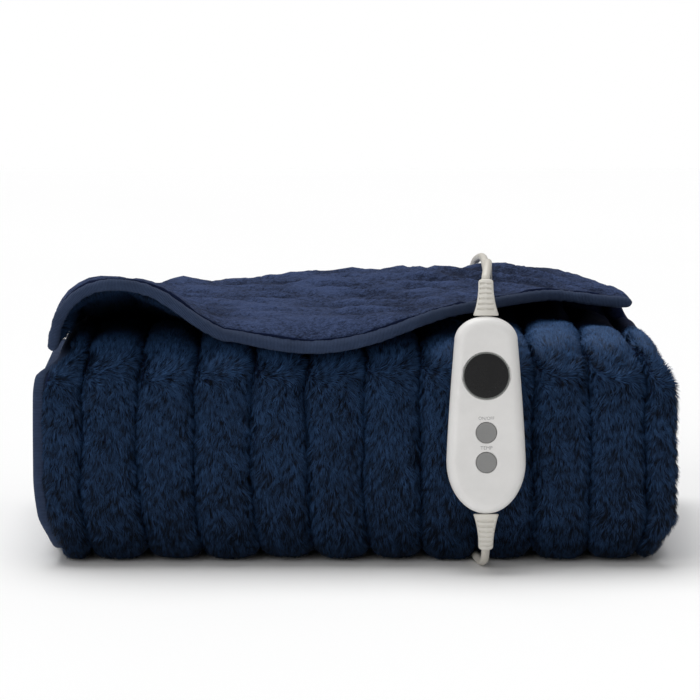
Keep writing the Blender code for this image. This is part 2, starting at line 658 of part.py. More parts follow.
def tube(name, points):
    """A cord's stretch: a curve with a round bevel and closed ends, straight at its first and last."""
    route = smooth_route(points[1:-1], 2.3 * CORD)
    route = np.concatenate([[points[0]], route, [points[-1]]])
    curve = bpy.data.curves.new(name, "CURVE")
    curve.dimensions = "3D"
    curve.bevel_depth = CORD / 2
    curve.bevel_resolution = 2
    curve.use_fill_caps = True
    spline = curve.splines.new("POLY")
    spline.points.add(len(route) - 1)
    for knot, point in zip(spline.points, route):
        knot.co = (*point, 1)
    made = bpy.data.objects.new(name, curve)
    made.data.materials.append(CREAM)
    made.parent = ORIGIN
    PARTS.objects.link(made)


def exit_points(line, runs):
    """Points straight out of a relief's end, at given distances."""
    point, direction = line[0][-1], line[1][-1]
    return [tuple(point + direction * run) for run in runs]


def make_cords():
    straight = (GAP, 0.0015, 0.0035)
    over = exit_points(TOP_LINE, straight) + list(BLANKET_LEAD)
    x, y, z = CONNECTOR
    z += CONNECTOR_HALF[2] + CONNECTOR_RELIEF + 2 * GAP
    tube("cord_blanket", over + [(x, y - 0.0004, z + 0.012), (x, y, z + 0.004), (x, y, z)])
    reach = math.sqrt((COIL_MIDDLE + COIL_HALF) ** 2 - (COIL_MIDDLE - CORD / 2) ** 2) + 2 * GAP
    under = exit_points(LOWER_LINE, straight) + list(MAINS_LEAD)
    under += [(GROOVE_X, COIL_Y - reach - run, CORD_Z) for run in (0.004, 0.0)]
    tube("cord_mains", under)
    x, y, z = PLUG_NECK
    start = COIL_X - reach
    tube("mains_tail", [(start, y, 0.0140), (start - 0.003, y, 0.0137), (start - 0.016, y, 0.0090),
                        (x + 0.014, y, 0.0072), (x + 0.004, y, z), (x, y, z)])


def make_coil():
    """The stored length of the mains lead: a ring with rounded corners that lies on the floor."""
    cut = 0.0028
    half = COIL_HALF
    section = ((half - cut, -half), (half, -half + cut), (half, half - cut), (half - cut, half),
               (-half + cut, half), (-half, half - cut), (-half, -half + cut), (-half + cut, -half))
    rows = len(section)
    turns = 24
    points, faces = [], []
    for number in range(turns):
        angle = 2 * math.pi * number / turns
        for out, up in section:
            radius = COIL_MIDDLE + out
            points.append((COIL_X + radius * math.cos(angle), COIL_Y + radius * math.sin(angle),
                           half + up + GAP))
        after = (number + 1) % turns
        for row in range(rows):
            following = (row + 1) % rows
            faces.append((number * rows + row, after * rows + row,
                          after * rows + following, number * rows + following))
    place("mains_coil", mesh_from("mains_coil", points, faces), CREAM)


# ---------------------------------------------------------------- connector and plug
def box_rings(centre, halves, round_off):
    """Rings of a rounded block, stacked along Z."""
    rings = []
    for share, shrink in ((-1, round_off), (-0.85, 0.0), (0.85, 0.0), (1, round_off)):
        wide, deep = halves[0] - shrink, halves[1] - shrink
        point = np.array([[centre[0], centre[1], centre[2] + share * halves[2]]])
        rings += oval_rings(point, np.array([[0, 0, 1.0]]), [(wide, deep)], power=4.5, sides=20)
    return rings


def make_connector():
    body = box_rings(CONNECTOR, CONNECTOR_HALF, 0.0012)
    place("connector_body", loft("connector_body", body), CREAM)
    start = (CONNECTOR[0], CONNECTOR[1], CONNECTOR[2] + CONNECTOR_HALF[2] + GAP)
    points, directions = relief_line(start, 0.0, 0.0, CONNECTOR_RELIEF, 6)
    halves = [(0.0062 - 0.0018 * t, 0.0050 - 0.0008 * t) for t in np.linspace(0, 1, 7)]
    place("connector_relief", loft("connector_relief", oval_rings(points, directions, halves)), CREAM)


def make_plug():
    """A flat two-pin plug that lies on the floor, its pins to the left."""
    x, y, z = PLUG_NECK
    sections = (
        # along, half width, half depth
        (GAP, 0.0040, 0.0040), (0.4 * PLUG_NECK_LENGTH, 0.0048, 0.0045),
        (PLUG_NECK_LENGTH, 0.0075, 0.0062),
        (PLUG_NECK_LENGTH + 0.004, PLUG_HALF_WIDTH - 0.003, PLUG_HALF_DEPTH - 0.001),
        (PLUG_NECK_LENGTH + 0.010, PLUG_HALF_WIDTH, PLUG_HALF_DEPTH),
        (PLUG_NECK_LENGTH + PLUG_BODY_LENGTH - 0.001, PLUG_HALF_WIDTH, PLUG_HALF_DEPTH),
        (PLUG_NECK_LENGTH + PLUG_BODY_LENGTH, PLUG_HALF_WIDTH - 0.001, PLUG_HALF_DEPTH - 0.001),
    )
    angle = np.linspace(0, 2 * math.pi, 20, endpoint=False)
    wave = np.sign(np.cos(angle)) * np.abs(np.cos(angle)) ** (2 / 3.2)
    rise = np.sign(np.sin(angle)) * np.abs(np.sin(angle)) ** (2 / 3.2)
    rings = [np.stack([np.full(20, x - run), y + wave * wide, z + rise * deep], 1)
             for run, wide, deep in sections]
    place("plug_body", loft("plug_body", rings), WHITE)
    for name, side in (("plug_pin_a", -1), ("plug_pin_b", 1)):
        work = bmesh.new()
        bmesh.ops.create_cube(work, size=1)
        bmesh.ops.scale(work, vec=(PIN_LENGTH, 2 * PIN_HALF_THICK, 2 * PIN_HALF_WIDTH), verts=work.verts)
        made = bpy.data.meshes.new(name)
        work.to_mesh(made)
        work.free()
        pin = place(name, made, BRASS)
        pin.location = (x - PLUG_NECK_LENGTH - PLUG_BODY_LENGTH - GAP - PIN_LENGTH / 2,
                        y + side * PIN_SPREAD, z)
        pin.rotation_euler = (side * PIN_TURN, 0, 0)


make_blanket()
make_bindings()
make_control()
make_reliefs()
make_cords()
make_coil()
make_connector()
make_plug()
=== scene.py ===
"""Folded electric heated throw: plush and fleece, bound edges, a hand control, its leads and plug."""
import math

import bpy
import numpy as np
from mathutils.geometry import tessellate_polygon
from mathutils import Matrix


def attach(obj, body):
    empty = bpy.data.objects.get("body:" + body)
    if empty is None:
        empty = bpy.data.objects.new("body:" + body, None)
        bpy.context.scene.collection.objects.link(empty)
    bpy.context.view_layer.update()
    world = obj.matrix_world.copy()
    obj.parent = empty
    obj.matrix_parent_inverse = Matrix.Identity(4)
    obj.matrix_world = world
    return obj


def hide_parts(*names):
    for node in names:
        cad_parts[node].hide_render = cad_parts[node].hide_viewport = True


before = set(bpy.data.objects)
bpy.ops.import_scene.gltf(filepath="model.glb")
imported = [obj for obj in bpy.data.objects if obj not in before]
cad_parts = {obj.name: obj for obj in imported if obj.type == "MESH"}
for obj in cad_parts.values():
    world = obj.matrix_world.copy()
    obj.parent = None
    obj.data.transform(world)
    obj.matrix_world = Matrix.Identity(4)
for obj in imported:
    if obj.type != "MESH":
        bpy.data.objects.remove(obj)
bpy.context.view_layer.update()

# ---------------------------------------------------------------- camera
# The view is nearly level, a little from above, through a long lens from a few steps away.
# Everything below is placed from the middle of the folded throw, whose front bulge faces -Y.
CENTRE_X = 0.00025
CENTRE_Y = -0.0197
VIEW_LIFT = math.radians(8)
VIEW_DISTANCE = 3.0
VIEW_WIDTH = 0.4575            # metres across the picture at the front bulge
VIEW_AIM = (-0.0016, -0.1450, 0.1446)
SENSOR = 36.0

camera_data = bpy.data.cameras.new("camera")
camera_data.sensor_width = SENSOR
camera_data.lens = SENSOR * VIEW_DISTANCE / VIEW_WIDTH
camera_data.clip_end = 20
camera = bpy.data.objects.new("camera", camera_data)
camera.location = (VIEW_AIM[0] - CENTRE_X,
                   VIEW_AIM[1] - CENTRE_Y - VIEW_DISTANCE * math.cos(VIEW_LIFT),
                   VIEW_AIM[2] + VIEW_DISTANCE * math.sin(VIEW_LIFT))
camera.rotation_euler = (math.pi / 2 - VIEW_LIFT, 0, 0)
bpy.context.scene.collection.objects.link(camera)
bpy.context.scene.camera = camera
bpy.context.scene.view_settings.view_transform = "Standard"

# ---------------------------------------------------------------- leads
# Two round cream leads: one from the control over the top to the blanket's connector at the back,
# one from the control under the blanket to the plug, its spare length wound in a coil with a tie.
CORD = 0.0055
CORD_Z = CORD / 2 + 0.0003
CONTROL_AT = (0.0872, -0.1626, 0.0393)     # lower end of the control's seam plane
CONTROL_LEAN = math.radians(8)
CONTROL_LENGTH = 0.1288
RELIEF_LENGTH = 0.0230
TOP_EXIT_LEAN = math.radians(35)
LOWER_EXIT_LEAN = math.radians(-33)
GAP = 0.0003                   # air between neighbouring moulded pieces
LEAD_STEP = 0.0022             # metres between a lead's rings
LEAD_SIDES = 14
STUB_RUNS = (0.0001, 0.0015, 0.0035)
COIL_POINTS = 1500
COIL_FROM = 4                  # its first points give way to the run that leads in
BLANKET_LEAD = (
    (0.0890, -0.1180, 0.1977), (0.0896, -0.1000, 0.1960), (0.0904, -0.0780, 0.1880),
    (0.0912, -0.0520, 0.1785), (0.0920, -0.0200, 0.1727), (0.0925, 0.0200, 0.1752),
    (0.0918, 0.0600, 0.1796), (0.0898, 0.0880, 0.1778), (0.0866, 0.1160, 0.1702),
)
CONNECTOR = (0.0845, 0.1309, 0.1117)
CONNECTOR_HALF = (0.0150, 0.0060, 0.0110)
CONNECTOR_RELIEF = 0.020
GROOVE_X = 0.0818
MAINS_LEAD = (
    (0.0867, -0.1495, 0.0064), (0.0850, -0.1372, 0.0031), (0.0828, -0.1240, CORD_Z),
    (GROOVE_X, -0.1080, CORD_Z), (GROOVE_X, -0.0300, CORD_Z), (GROOVE_X, 0.0200, CORD_Z),
    (GROOVE_X, 0.0700, CORD_Z), (GROOVE_X, 0.1200, CORD_Z), (GROOVE_X, 0.1550, CORD_Z),
)
COIL_X, COIL_Y = GROOVE_X - 0.0300, 0.1730
WINDING = (
    # turns, radius, height of the lead's middle
    (0.0, 30.0, 3.05), (0.75, 30.0, 3.05), (1.0, 24.4, 3.05), (1.8, 24.4, 3.05), (2.0, 24.4, 8.6),
    (2.75, 24.4, 8.6), (3.0, 30.0, 8.6), (3.75, 30.0, 8.6), (3.95, 35.6, 8.6), (4.12, 35.6, 3.05),
    (4.80, 35.6, 3.05), (4.87, 35.6, 8.6), (5.80, 35.6, 8.6), (5.88, 35.6, 14.2), (6.70, 35.6, 14.2),
    (6.90, 30.0, 14.2), (7.25, 30.0, 14.2),
)
PLUG_NECK = (-0.0180, 0.2030, 0.0085)


def from_throw(points):
    """Moves points from the throw's own frame to the frame on the floor under its middle."""
    return np.asarray(points, float) - (CENTRE_X, CENTRE_Y, 0)


def grid_faces(rows, columns, first=0, around=False, flip=False):
    """Quads of a grid of points, numbered row by row from first, closed round its columns if asked."""
    number = np.arange(rows * columns).reshape(rows, columns) + first
    if around:
        number = np.concatenate([number, number[:, :1]], 1)
    quads = np.stack([number[:-1, :-1], number[:-1, 1:], number[1:, 1:], number[1:, :-1]], -1).reshape(-1, 4)
    return quads[:, ::-1] if flip else quads


def mesh_of(name, points, faces):
    """A smooth mesh from rows of three numbers, and from one or more arrays of corner numbers."""
    groups = faces if isinstance(faces, list) else [faces]
    groups = [np.asarray(group, np.int32) for group in groups]
    made = bpy.data.meshes.new(name)
    points = np.asarray(points, np.float32)
    made.vertices.add(len(points))
    made.vertices.foreach_set("co", points.ravel())
    corners = np.concatenate([group.ravel() for group in groups])
    sizes = np.concatenate([np.full(len(group), group.shape[1]) for group in groups])
    made.loops.add(len(corners))
    made.loops.foreach_set("vertex_index", corners)
    made.polygons.add(len(sizes))
    made.polygons.foreach_set("loop_start", (np.cumsum(sizes) - sizes).astype(np.int32))
    made.update(calc_edges=True)
    made.shade_smooth()
    return made


def stored(mesh, name, values):
    """Keeps one number for each point of a mesh, for its material to read."""
    kept = mesh.attributes.new(name, "FLOAT", "POINT")
    kept.data.foreach_set("value", np.asarray(values, np.float32).ravel())


def piece(name, mesh, *materials, body="root"):
    """Links a mesh as an object that rides on a body."""
    made = bpy.data.objects.new(name, mesh)
    for material in materials:
        made.data.materials.append(material)
    bpy.context.scene.collection.objects.link(made)
    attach(made, body)
    return made


class Value:
    """A material's socket in arithmetic: each operator adds a Math node and gives its result."""

    def __init__(self, finish, link):
        self.finish, self.link = finish, link

    def maths(self, operation, *others):
        return self.finish.node("ShaderNodeMath", {"operation": operation}, [self, *others])

    def __add__(self, other):
        return self.maths("ADD", other)

    def __sub__(self, other):
        return self.maths("SUBTRACT", other)

    def __rsub__(self, other):
        return self.finish.node("ShaderNodeMath", {"operation": "SUBTRACT"}, [other, self])

    def __mul__(self, other):
        return self.maths("MULTIPLY", other)

    __radd__ = __add__
    __rmul__ = __mul__


class Finish:
    """A material built node by node on a Principled shader."""

    def __init__(self, name, **constants):
        self.material = bpy.data.materials.new(name)
        self.material.use_nodes = True
        self.tree = self.material.node_tree
        self.shader = self.tree.nodes["Principled BSDF"]
        for socket, value in constants.items():
            self.shader.inputs[socket.replace("_", " ")].default_value = value

    def node(self, kind, settings=None, inputs=(), output=0):
        """Adds a node with its settings first, then its inputs by name or in order."""
        made = self.tree.nodes.new(kind)
        for key, value in (settings or {}).items():
            setattr(made, key, value)
        pairs = inputs.items() if isinstance(inputs, dict) else enumerate(inputs)
        for key, value in pairs:
            if isinstance(value, Value):
                self.tree.links.new(value.link, made.inputs[key])
            else:
                made.inputs[key].default_value = value
        return Value(self, made.outputs[output])

    def place(self):
        return self.node("ShaderNodeTexCoord", output=3)

    def kept(self, name, output=2):
        """A colour (output 0), a vector (output 1) or a number (output 2) stored on the mesh's points."""
        return self.node("ShaderNodeAttribute", {"attribute_name": name}, output=output)

    def noise(self, vector, scale, detail=2.0, roughness=0.5):
        return self.node("ShaderNodeTexNoise", None,
                         {"Vector": vector, "Scale": scale, "Detail": detail, "Roughness": roughness})

    def stretched(self, vector, scale):
        return self.node("ShaderNodeMapping", None, {"Vector": vector, "Scale": scale})

    def spread(self, value, low, high):
        """0 at low and 1 at high, held beyond them."""
        return self.node("ShaderNodeMapRange", None, [value, low, high, 0.0, 1.0])

    def mix(self, factor, first, second):
        """Mixes two colours."""
        return self.node("ShaderNodeMix", {"data_type": "RGBA"}, {0: factor, 6: first, 7: second}, 2)

    def bump(self, height, distance, strength=1.0):
        return self.node("ShaderNodeBump", None,
                         {"Height": height, "Distance": distance, "Strength": strength})

    def feed(self, **links):
        """Links values to the shader's sockets."""
        for socket, value in links.items():
            self.tree.links.new(value.link, self.shader.inputs[socket.replace("_", " ")])
        return self.material


def moulded(name, light, dark, rough=0.38, grain=900.0, depth=0.00004):
    """Moulded plastic or rubber: a very fine spark-eroded grain and faint handling marks."""
    made = Finish(name, Specular_IOR_Level=0.4)
    where = made.place()
    smudge = made.spread(made.noise(where, 60.0, 4.0, 0.6), 0.35, 0.70)
    fine = made.noise(where, grain, 2.0)
    return made.feed(Base_Color=made.mix(smudge, light, dark),
                     Roughness=smudge * 0.10 + fine * 0.08 + (rough - 0.09),
                     Normal=made.bump(fine, depth, 0.6))


def run_of(line):
    """How far along a polyline each of its points is."""
    return np.concatenate([[0], np.cumsum(np.linalg.norm(np.diff(line, axis=0), axis=1))])


def evenly(line, count):
    """count + 1 points at equal steps along a polyline."""
    run = run_of(line)
    even = np.linspace(0, run[-1], count + 1)
    return np.stack([np.interp(even, run, line[:, axis]) for axis in range(line.shape[1])], 1)


def smoothed(points, spacing=LEAD_STEP):
    """A Catmull-Rom curve through the points, read at even spacing."""
    points = np.array(points, float)
    ghost = np.concatenate([[2 * points[0] - points[1]], points, [2 * points[-1] - points[-2]]])
    t = np.linspace(0, 1, 24, endpoint=False)[None, :, None]
    a, b, c, d = (ghost[i:len(points) - 1 + i, None] for i in range(4))
    dense = 0.5 * (2 * b + (c - a) * t + (2 * a - 5 * b + 4 * c - d) * t ** 2
                   + (3 * b - a - 3 * c + d) * t ** 3)
    dense = np.concatenate([dense.reshape(-1, 3), points[-1:]])
    return evenly(dense, max(2, round(run_of(dense)[-1] / spacing)))


def control_end(height):
    """A point of the control's axis at a height along it."""
    x, y, z = CONTROL_AT
    return x, y + height * math.sin(CONTROL_LEAN), z + height * math.cos(CONTROL_LEAN)


def relief_line(start, first, last, length, steps=120):
    """Centre points and directions of a relief that bends evenly from one lean to another."""
    lean = np.linspace(first, last, steps + 1)
    middle = (lean[1:] + lean[:-1]) / 2
    step = length / steps
    y = start[1] + np.concatenate([[0], np.cumsum(np.sin(middle) * step)])
    z = start[2] + np.concatenate([[0], np.cumsum(np.cos(middle) * step)])
    points = np.stack([np.full(steps + 1, start[0]), y, z], 1)
    return points, np.stack([np.zeros(steps + 1), np.sin(lean), np.cos(lean)], 1)


TOP_LINE = relief_line(control_end(CONTROL_LENGTH + GAP), CONTROL_LEAN, TOP_EXIT_LEAN, RELIEF_LENGTH)
LOWER_LINE = relief_line(control_end(-GAP), math.pi + CONTROL_LEAN, math.pi + LOWER_EXIT_LEAN, RELIEF_LENGTH)


def out_of(line):
    """Three points straight out of a relief's end."""
    return [line[0][-1] + line[1][-1] * run for run in STUB_RUNS]


def tube_round(route, radius, sides, upright):
    """Rings round a route: the route, plus radius times cos and sin of two directions across it."""
    ahead = np.gradient(route, axis=0)
    ahead /= np.linalg.norm(ahead, axis=1, keepdims=True)
    across = np.cross(ahead, upright)
    across /= np.linalg.norm(across, axis=1, keepdims=True)
    above = np.cross(across, ahead)
    turn = np.linspace(0, 2 * math.pi, sides, endpoint=False)
    return route[:, None] + radius * (np.cos(turn)[None, :, None] * across[:, None]
                                      + np.sin(turn)[None, :, None] * above[:, None])


def closed(name, rings, finish, body="root"):
    """A closed body from rings of points, with a fan at each end and its faces turned outwards."""
    rings = np.asarray(rings)
    count, sides = rings.shape[:2]
    points = np.concatenate([rings.reshape(-1, 3), rings[:1].mean(1), rings[-1:].mean(1)])
    turn = np.arange(sides)
    after = (turn + 1) % sides
    base = (count - 1) * sides
    first = np.stack([turn, after, np.full(sides, count * sides)], 1)
    last = np.stack([after + base, turn + base, np.full(sides, count * sides + 1)], 1)
    quads = grid_faces(count, sides, around=True, flip=True)
    split = np.concatenate([quads[:, :3], quads[:, [0, 2, 3]], first, last])
    a, b, c = (points[split[:, corner]] - points.mean(0) for corner in range(3))
    groups = [quads, first, last]
    if np.sum(a * np.cross(b, c)) < 0:
        groups = [group[:, ::-1] for group in groups]
    return piece(name, mesh_of(name, from_throw(points), groups), finish, body=body)


def lead(name, route, upright, replaced):
    """A round lead along a route, in place of the parts it replaces."""
    made = closed(name, tube_round(route, CORD / 2, LEAD_SIDES, upright), LEAD_FINISH)
    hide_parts(*replaced)


LEAD_FINISH = moulded("lead_jacket", (0.66, 0.63, 0.57, 1), (0.60, 0.57, 0.51, 1), 0.42, 500.0, 0.00003)
x, y, z = CONNECTOR
z += CONNECTOR_HALF[2] + CONNECTOR_RELIEF + 2 * GAP
over_route = smoothed(out_of(TOP_LINE) + list(BLANKET_LEAD)
                      + [(x, y - 0.0004, z + 0.012), (x, y, z + 0.004), (x, y, z)])
turns, radii, heights = np.array(WINDING).T
turn = np.linspace(0, turns[-1], COIL_POINTS)


def rounded_steps(values):
    """Reads a column of the winding between its rows with a cubic 3t^2 - 2t^3 instead of a straight run."""
    row = np.clip(np.searchsorted(turns, turn, "right") - 1, 0, len(turns) - 2)
    t = (turn - turns[row]) / (turns[row + 1] - turns[row])
    return values[row] + (values[row + 1] - values[row]) * t * t * (3 - 2 * t)


radius, height = rounded_steps(radii) / 1000, rounded_steps(heights) / 1000
bearing = 2 * math.pi * turn
coil = np.stack([COIL_X + radius * np.cos(bearing), COIL_Y + radius * np.sin(bearing), height], 1)
x, y, z = PLUG_NECK
under_route = smoothed(out_of(LOWER_LINE) + list(MAINS_LEAD))
tail = smoothed([coil[-1], (COIL_X - 0.014, y, 0.0142), (COIL_X - 0.0275, y, 0.0138),
                 (COIL_X - 0.042, y, 0.0095), (x + 0.014, y, 0.0072), (x + 0.004, y, z), (x, y, z)])
mains_route = np.concatenate([under_route, coil[COIL_FROM:], tail[1:]])
mains_route = evenly(mains_route, round(run_of(mains_route)[-1] / LEAD_STEP))
lead("lead_to_blanket", over_route, (1.0, 0.0, 0.0), ("cord_blanket",))
lead("lead_to_mains", mains_route, (0.0, 0.0, 1.0), ("cord_mains", "mains_coil", "mains_tail"))

# ---------------------------------------------------------------- folded sheet
# A quilted sheet, plush outside and fleece on the reverse, sewn together in channels from end to end.
# It is folded back and forth. The last turn wraps the front, and the end lies on top as a flap with
# the fleece up, its front left corner curled.
LEFT_RIM = -0.2025
RIGHT_RIM = 0.2125
CHANNEL = 0.0372
FIRST_SEAM = -0.1788
CHANNELS = 10
COLUMNS_PER_CHANNEL = 11
LEFT_COLUMNS = 8
RIGHT_COLUMNS = 12
LAYER_PITCH = 0.0253
FLOOR_LAYER = 0.0105
INNER_STEP = 0.012             # metres between rows of the inner layers
OUTER_STEP = 0.0035            # the same for the top layer
BEND_STEPS = 14
WRAP_STEPS = 64
TURN_OVER_STEPS = 12
FLAP_ROWS = 66
MERGE_ROWS = 12                # rows over which the folded sheet's filling gives way to the flap's
BEND_SLIM = 0.80
FLAP_BEND_SLIM = 0.64
FRONT_START = -0.095
FRONT_BULGE = 0.0395
WRAP_POWER = 2.6
FOOT_POWER = 4.0
FLAP_LOW = 0.1545
FLAP_RISE = 0.010
FLAP_FOLD_Y = 0.1050
END_EDGE_Y = 0.1150
CURL_START = -0.085
CURL_PEAK = (-0.158, 0.1845)
CURL_END = (-0.1975, 0.137)
HANG_X = -0.1965
HANG_BEND = 0.016
CURL_PULL = 0.042
BACK_PULL = 0.012
BACK_PULL_PART = 0.30          # the part of the flap over which it is drawn in
CURL_FROM = 0.42               # the part of the flap at which the corner begins to lift
CURL_OVER = 0.58
CURL_LEAVE = (0.030, 0.012)
CURL_TOP = (0.032, 0.026)      # handles right and left of the peak
CURL_BLEND = 0.050
RISE_X = (-0.050, 0.080)
RISE_PART = 0.35
TOP_NARROWING = 0.055
TOP_NARROWING_Z = (0.112, 0.167)
TUCK = 0.012
TUCK_Z = (0.123, 0.134)
SHOULDER = 0.012
SHOULDER_X = 0.150
SHOULDER_Z = (0.110, 0.155)
FOOT_SHIFT = 0.006
FOOT_SHIFT_Z = 0.060
FOOT_SHIFT_X = (-0.050, 0.100)
SWELL = (
    # x, how far the filling behind the front edge lifts the top
    (-0.110, 0.0), (-0.080, 0.002), (-0.050, 0.004), (-0.030, 0.0065), (0.035, 0.0085), (0.078, 0.0093),
    (0.120, 0.0070), (0.142, 0.0042), (0.163, 0.0020), (0.184, 0.0), (0.215, 0.0),
)
SWELL_Y = (-0.015, 0.075)
SINK = 0.090
SINK_X = (0.130, 0.188)
SINK_Y = (-0.0925, 0.1250)
FOOT_TUCK = 0.010
FOOT_TUCK_Z = (0.010, 0.034)
FOOT_TUCK_Y = (-0.100, -0.050)
FOOT_TUCK_X = 0.178
FOLDS = (
    # side, y, lower layer, upper layer
    (-1, -0.0925, 3, 4), (1, 0.1080, 2, 3), (-1, -0.0905, 1, 2), (1, 0.1115, 0, 1),
)
FLAP_REACH = (
    # x, reach over the front shoulder
    (-0.200, 0.024), (-0.100, 0.024), (-0.085, 0.020), (-0.066, 0.028), (-0.042, 0.034),
    (-0.023, 0.037), (-0.002, 0.037), (0.022, 0.033), (0.044, 0.022), (0.062, 0.006),
    (0.080, -0.017), (0.095, -0.038), (0.112, -0.062), (0.130, -0.080), (0.150, -0.084),
    (0.215, -0.078),
)
PILE_HEIGHT = 0.0022           # how far the leaning pile stands above the cloth
CORE_CROWN = 0.0105 - PILE_HEIGHT
CORE_SEAM = -0.0012            # the stitched groove lies behind the middle of the filling
FLEECE_CROWN = 0.0095
FLEECE_SEAM = 0.0028
FLAP_PLUSH = 0.0026            # the flap's plush side without its pile
FLAP_FLEECE = 0.0043
WRAP_MIDDLE = FLOOR_LAYER + 2.5 * LAYER_PITCH
SEAM_WANDER = 0.0008
RIM_STRIP = 0.02               # the seams keep straight towards the rims
CHANNEL_SHIFT = 0.37           # metres between channels in the unevenness, so that they differ
FILLING = (
    # share, size, seed of the unevenness along each channel
    (0.07, 0.085, 7), (0.03, 0.030, 8),
)
BACK_FULLNESS = 0.16           # how much fuller the inner folds are than the front
PUCKER_Z = (0.095, 0.125)      # creases across the channels at the right shoulder
PUCKER_X = (0.095, 0.120)
PUCKER_PITCH = 0.0115
WRINKLE_SLANT = math.radians(24)
WRINKLE_SIZES = (0.046, 0.021, 0.009)
WRINKLE_DEPTH = 0.0014
CALM_EDGE = 0.15               # the last part of the flap, where its seam holds it flatter
FLOOR_CLEARANCE = 0.0006


def ease(value):
    """0 below 0, 1 above 1 and the cubic 3t^2 - 2t^3 between."""
    t = np.clip(value, 0, 1)
    return t * t * (3 - 2 * t)


def ripple(a, b, size, seed, waves=14):
    """Soft unevenness between about -1 and 1: a sum of sine waves in random directions."""
    draw = np.random.default_rng(seed)
    turn = draw.uniform(0, 2 * math.pi, waves)
    rate = 2 * math.pi / size * draw.uniform(0.6, 1.6, waves)
    start = draw.uniform(0, 2 * math.pi, waves)
    phase = (np.asarray(a)[..., None] * np.cos(turn) + np.asarray(b)[..., None] * np.sin(turn)) * rate
    return np.sin(phase + start).sum(-1) / math.sqrt(waves)


def layer(number):
    """Height of the middle of a layer, counted from 0 on the floor."""
    return FLOOR_LAYER + number * LAYER_PITCH


def reach_of(x):
    """How far the flap reaches at x: the mean of five readings of its table, which rounds its corners."""
    columns = np.array(FLAP_REACH)
    spread = 0.010
    return sum(np.interp(x + shift, columns[:, 0], columns[:, 1])
               for shift in (-spread, -spread / 2, 0, spread / 2, spread)) / 5


def half_turn(y, low, high, side, steps):
    """A half circle between two heights, from the upper one down."""
    radius = (high - low) / 2
    turn = np.linspace(math.pi / 2, -math.pi / 2, steps + 1)
    return np.stack([y + side * radius * np.cos(turn), (low + high) / 2 + radius * np.sin(turn)], 1)


def wrap_profile(offset, height, steps, from_turn=-math.pi / 2):
    """The front turn: |y|^n + |z|^n = 1 scaled, with a squarer power n below its middle."""
    turn = np.linspace(from_turn, math.pi / 2, 600)
    power = 2 / np.where(turn < 0, FOOT_POWER, WRAP_POWER)
    y = FRONT_START - (FRONT_BULGE + offset) * np.abs(np.cos(turn)) ** power
    z = WRAP_MIDDLE + height * np.sign(np.sin(turn)) * np.abs(np.sin(turn)) ** power
    return evenly(np.stack([y, z], 1), steps)


def straight(start_y, end_y, height, step):
    """Level points between two depths at about even steps, without the two ends."""
    count = max(2, round(abs(end_y - start_y) / step))
    y = np.linspace(start_y, end_y, count + 1)[1:-1]
    return np.stack([y, np.full(len(y), height)], 1)


def fold_line():
    """The folded sheet's middle line in Y and Z up to the flap, built end to end from runs and bends.

    With it come the sheet's slimness in its bends and the row at which the front turn starts.
    """
    lines, slims, here = [np.array([[END_EDGE_Y, layer(4)]])], [np.ones(1)], END_EDGE_Y
    for side, y, low, high in FOLDS:
        run = straight(here, y, layer(high), INNER_STEP)
        bend = half_turn(y, layer(low), layer(high), side, BEND_STEPS)
        lines += [run, bend]
        slims += [np.ones(len(run)), 1 - (1 - BEND_SLIM) * np.sin(np.linspace(0, math.pi, len(bend)))]
        here = y
    floor = straight(here, FRONT_START, layer(0), INNER_STEP)
    wrap = wrap_profile(0.0, layer(5) - WRAP_MIDDLE, WRAP_STEPS)
    top = straight(FRONT_START, FLAP_FOLD_Y, layer(5), OUTER_STEP)
    turn_over = half_turn(FLAP_FOLD_Y, layer(5), FLAP_LOW, 1, TURN_OVER_STEPS)[::-1]
    lines += [floor, wrap, top, turn_over]
    slims += [np.ones(len(floor) + len(wrap) + len(top)),
              1 - (1 - FLAP_BEND_SLIM) * np.sin(np.linspace(0, math.pi / 2, len(turn_over)))]
    return np.concatenate(lines), np.concatenate(slims), sum(len(part) for part in lines[:-3])


def widths():
    """Each column's x where the pile is widest and its place across its channel from 0 to 1.

    The third list is 1 and falls to 0 round the right rim by (1 - r^2.4)^0.5.
    """
    part = (1 - np.cos(np.linspace(0, math.pi, COLUMNS_PER_CHANNEL, endpoint=False))) / 2
    first = FIRST_SEAM - LEFT_RIM
    last_seam = FIRST_SEAM + CHANNELS * CHANNEL
    last = RIGHT_RIM - last_seam
    left = np.linspace(0.0, 0.98, LEFT_COLUMNS)
    right = np.sin(np.linspace(0, math.pi / 2, RIGHT_COLUMNS))
    x = np.concatenate([LEFT_RIM + left * first,
                        (FIRST_SEAM + (np.arange(CHANNELS)[:, None] + part) * CHANNEL).ravel(),
                        last_seam + right * last])
    across = np.concatenate([0.06 + 0.92 * left, np.tile(part, CHANNELS), 0.5 * np.minimum(right * 1.6, 1)])
    end = np.concatenate([np.ones(len(x) - RIGHT_COLUMNS), np.sqrt(np.maximum(1 - right ** 2.4, 0))])
    return x, across, end


def puff(across):
    """How full a channel is across its width, steep beside its seams: (1 - |2t - 1|^3)^0.62."""
    return np.maximum(1 - np.abs(2 * across - 1) ** 3.0, 0) ** 0.62


def between(value, ends):
    """0 at the first end, 1 at the second, and the same cubic between."""
    return ease((value - ends[0]) / (ends[1] - ends[0]))


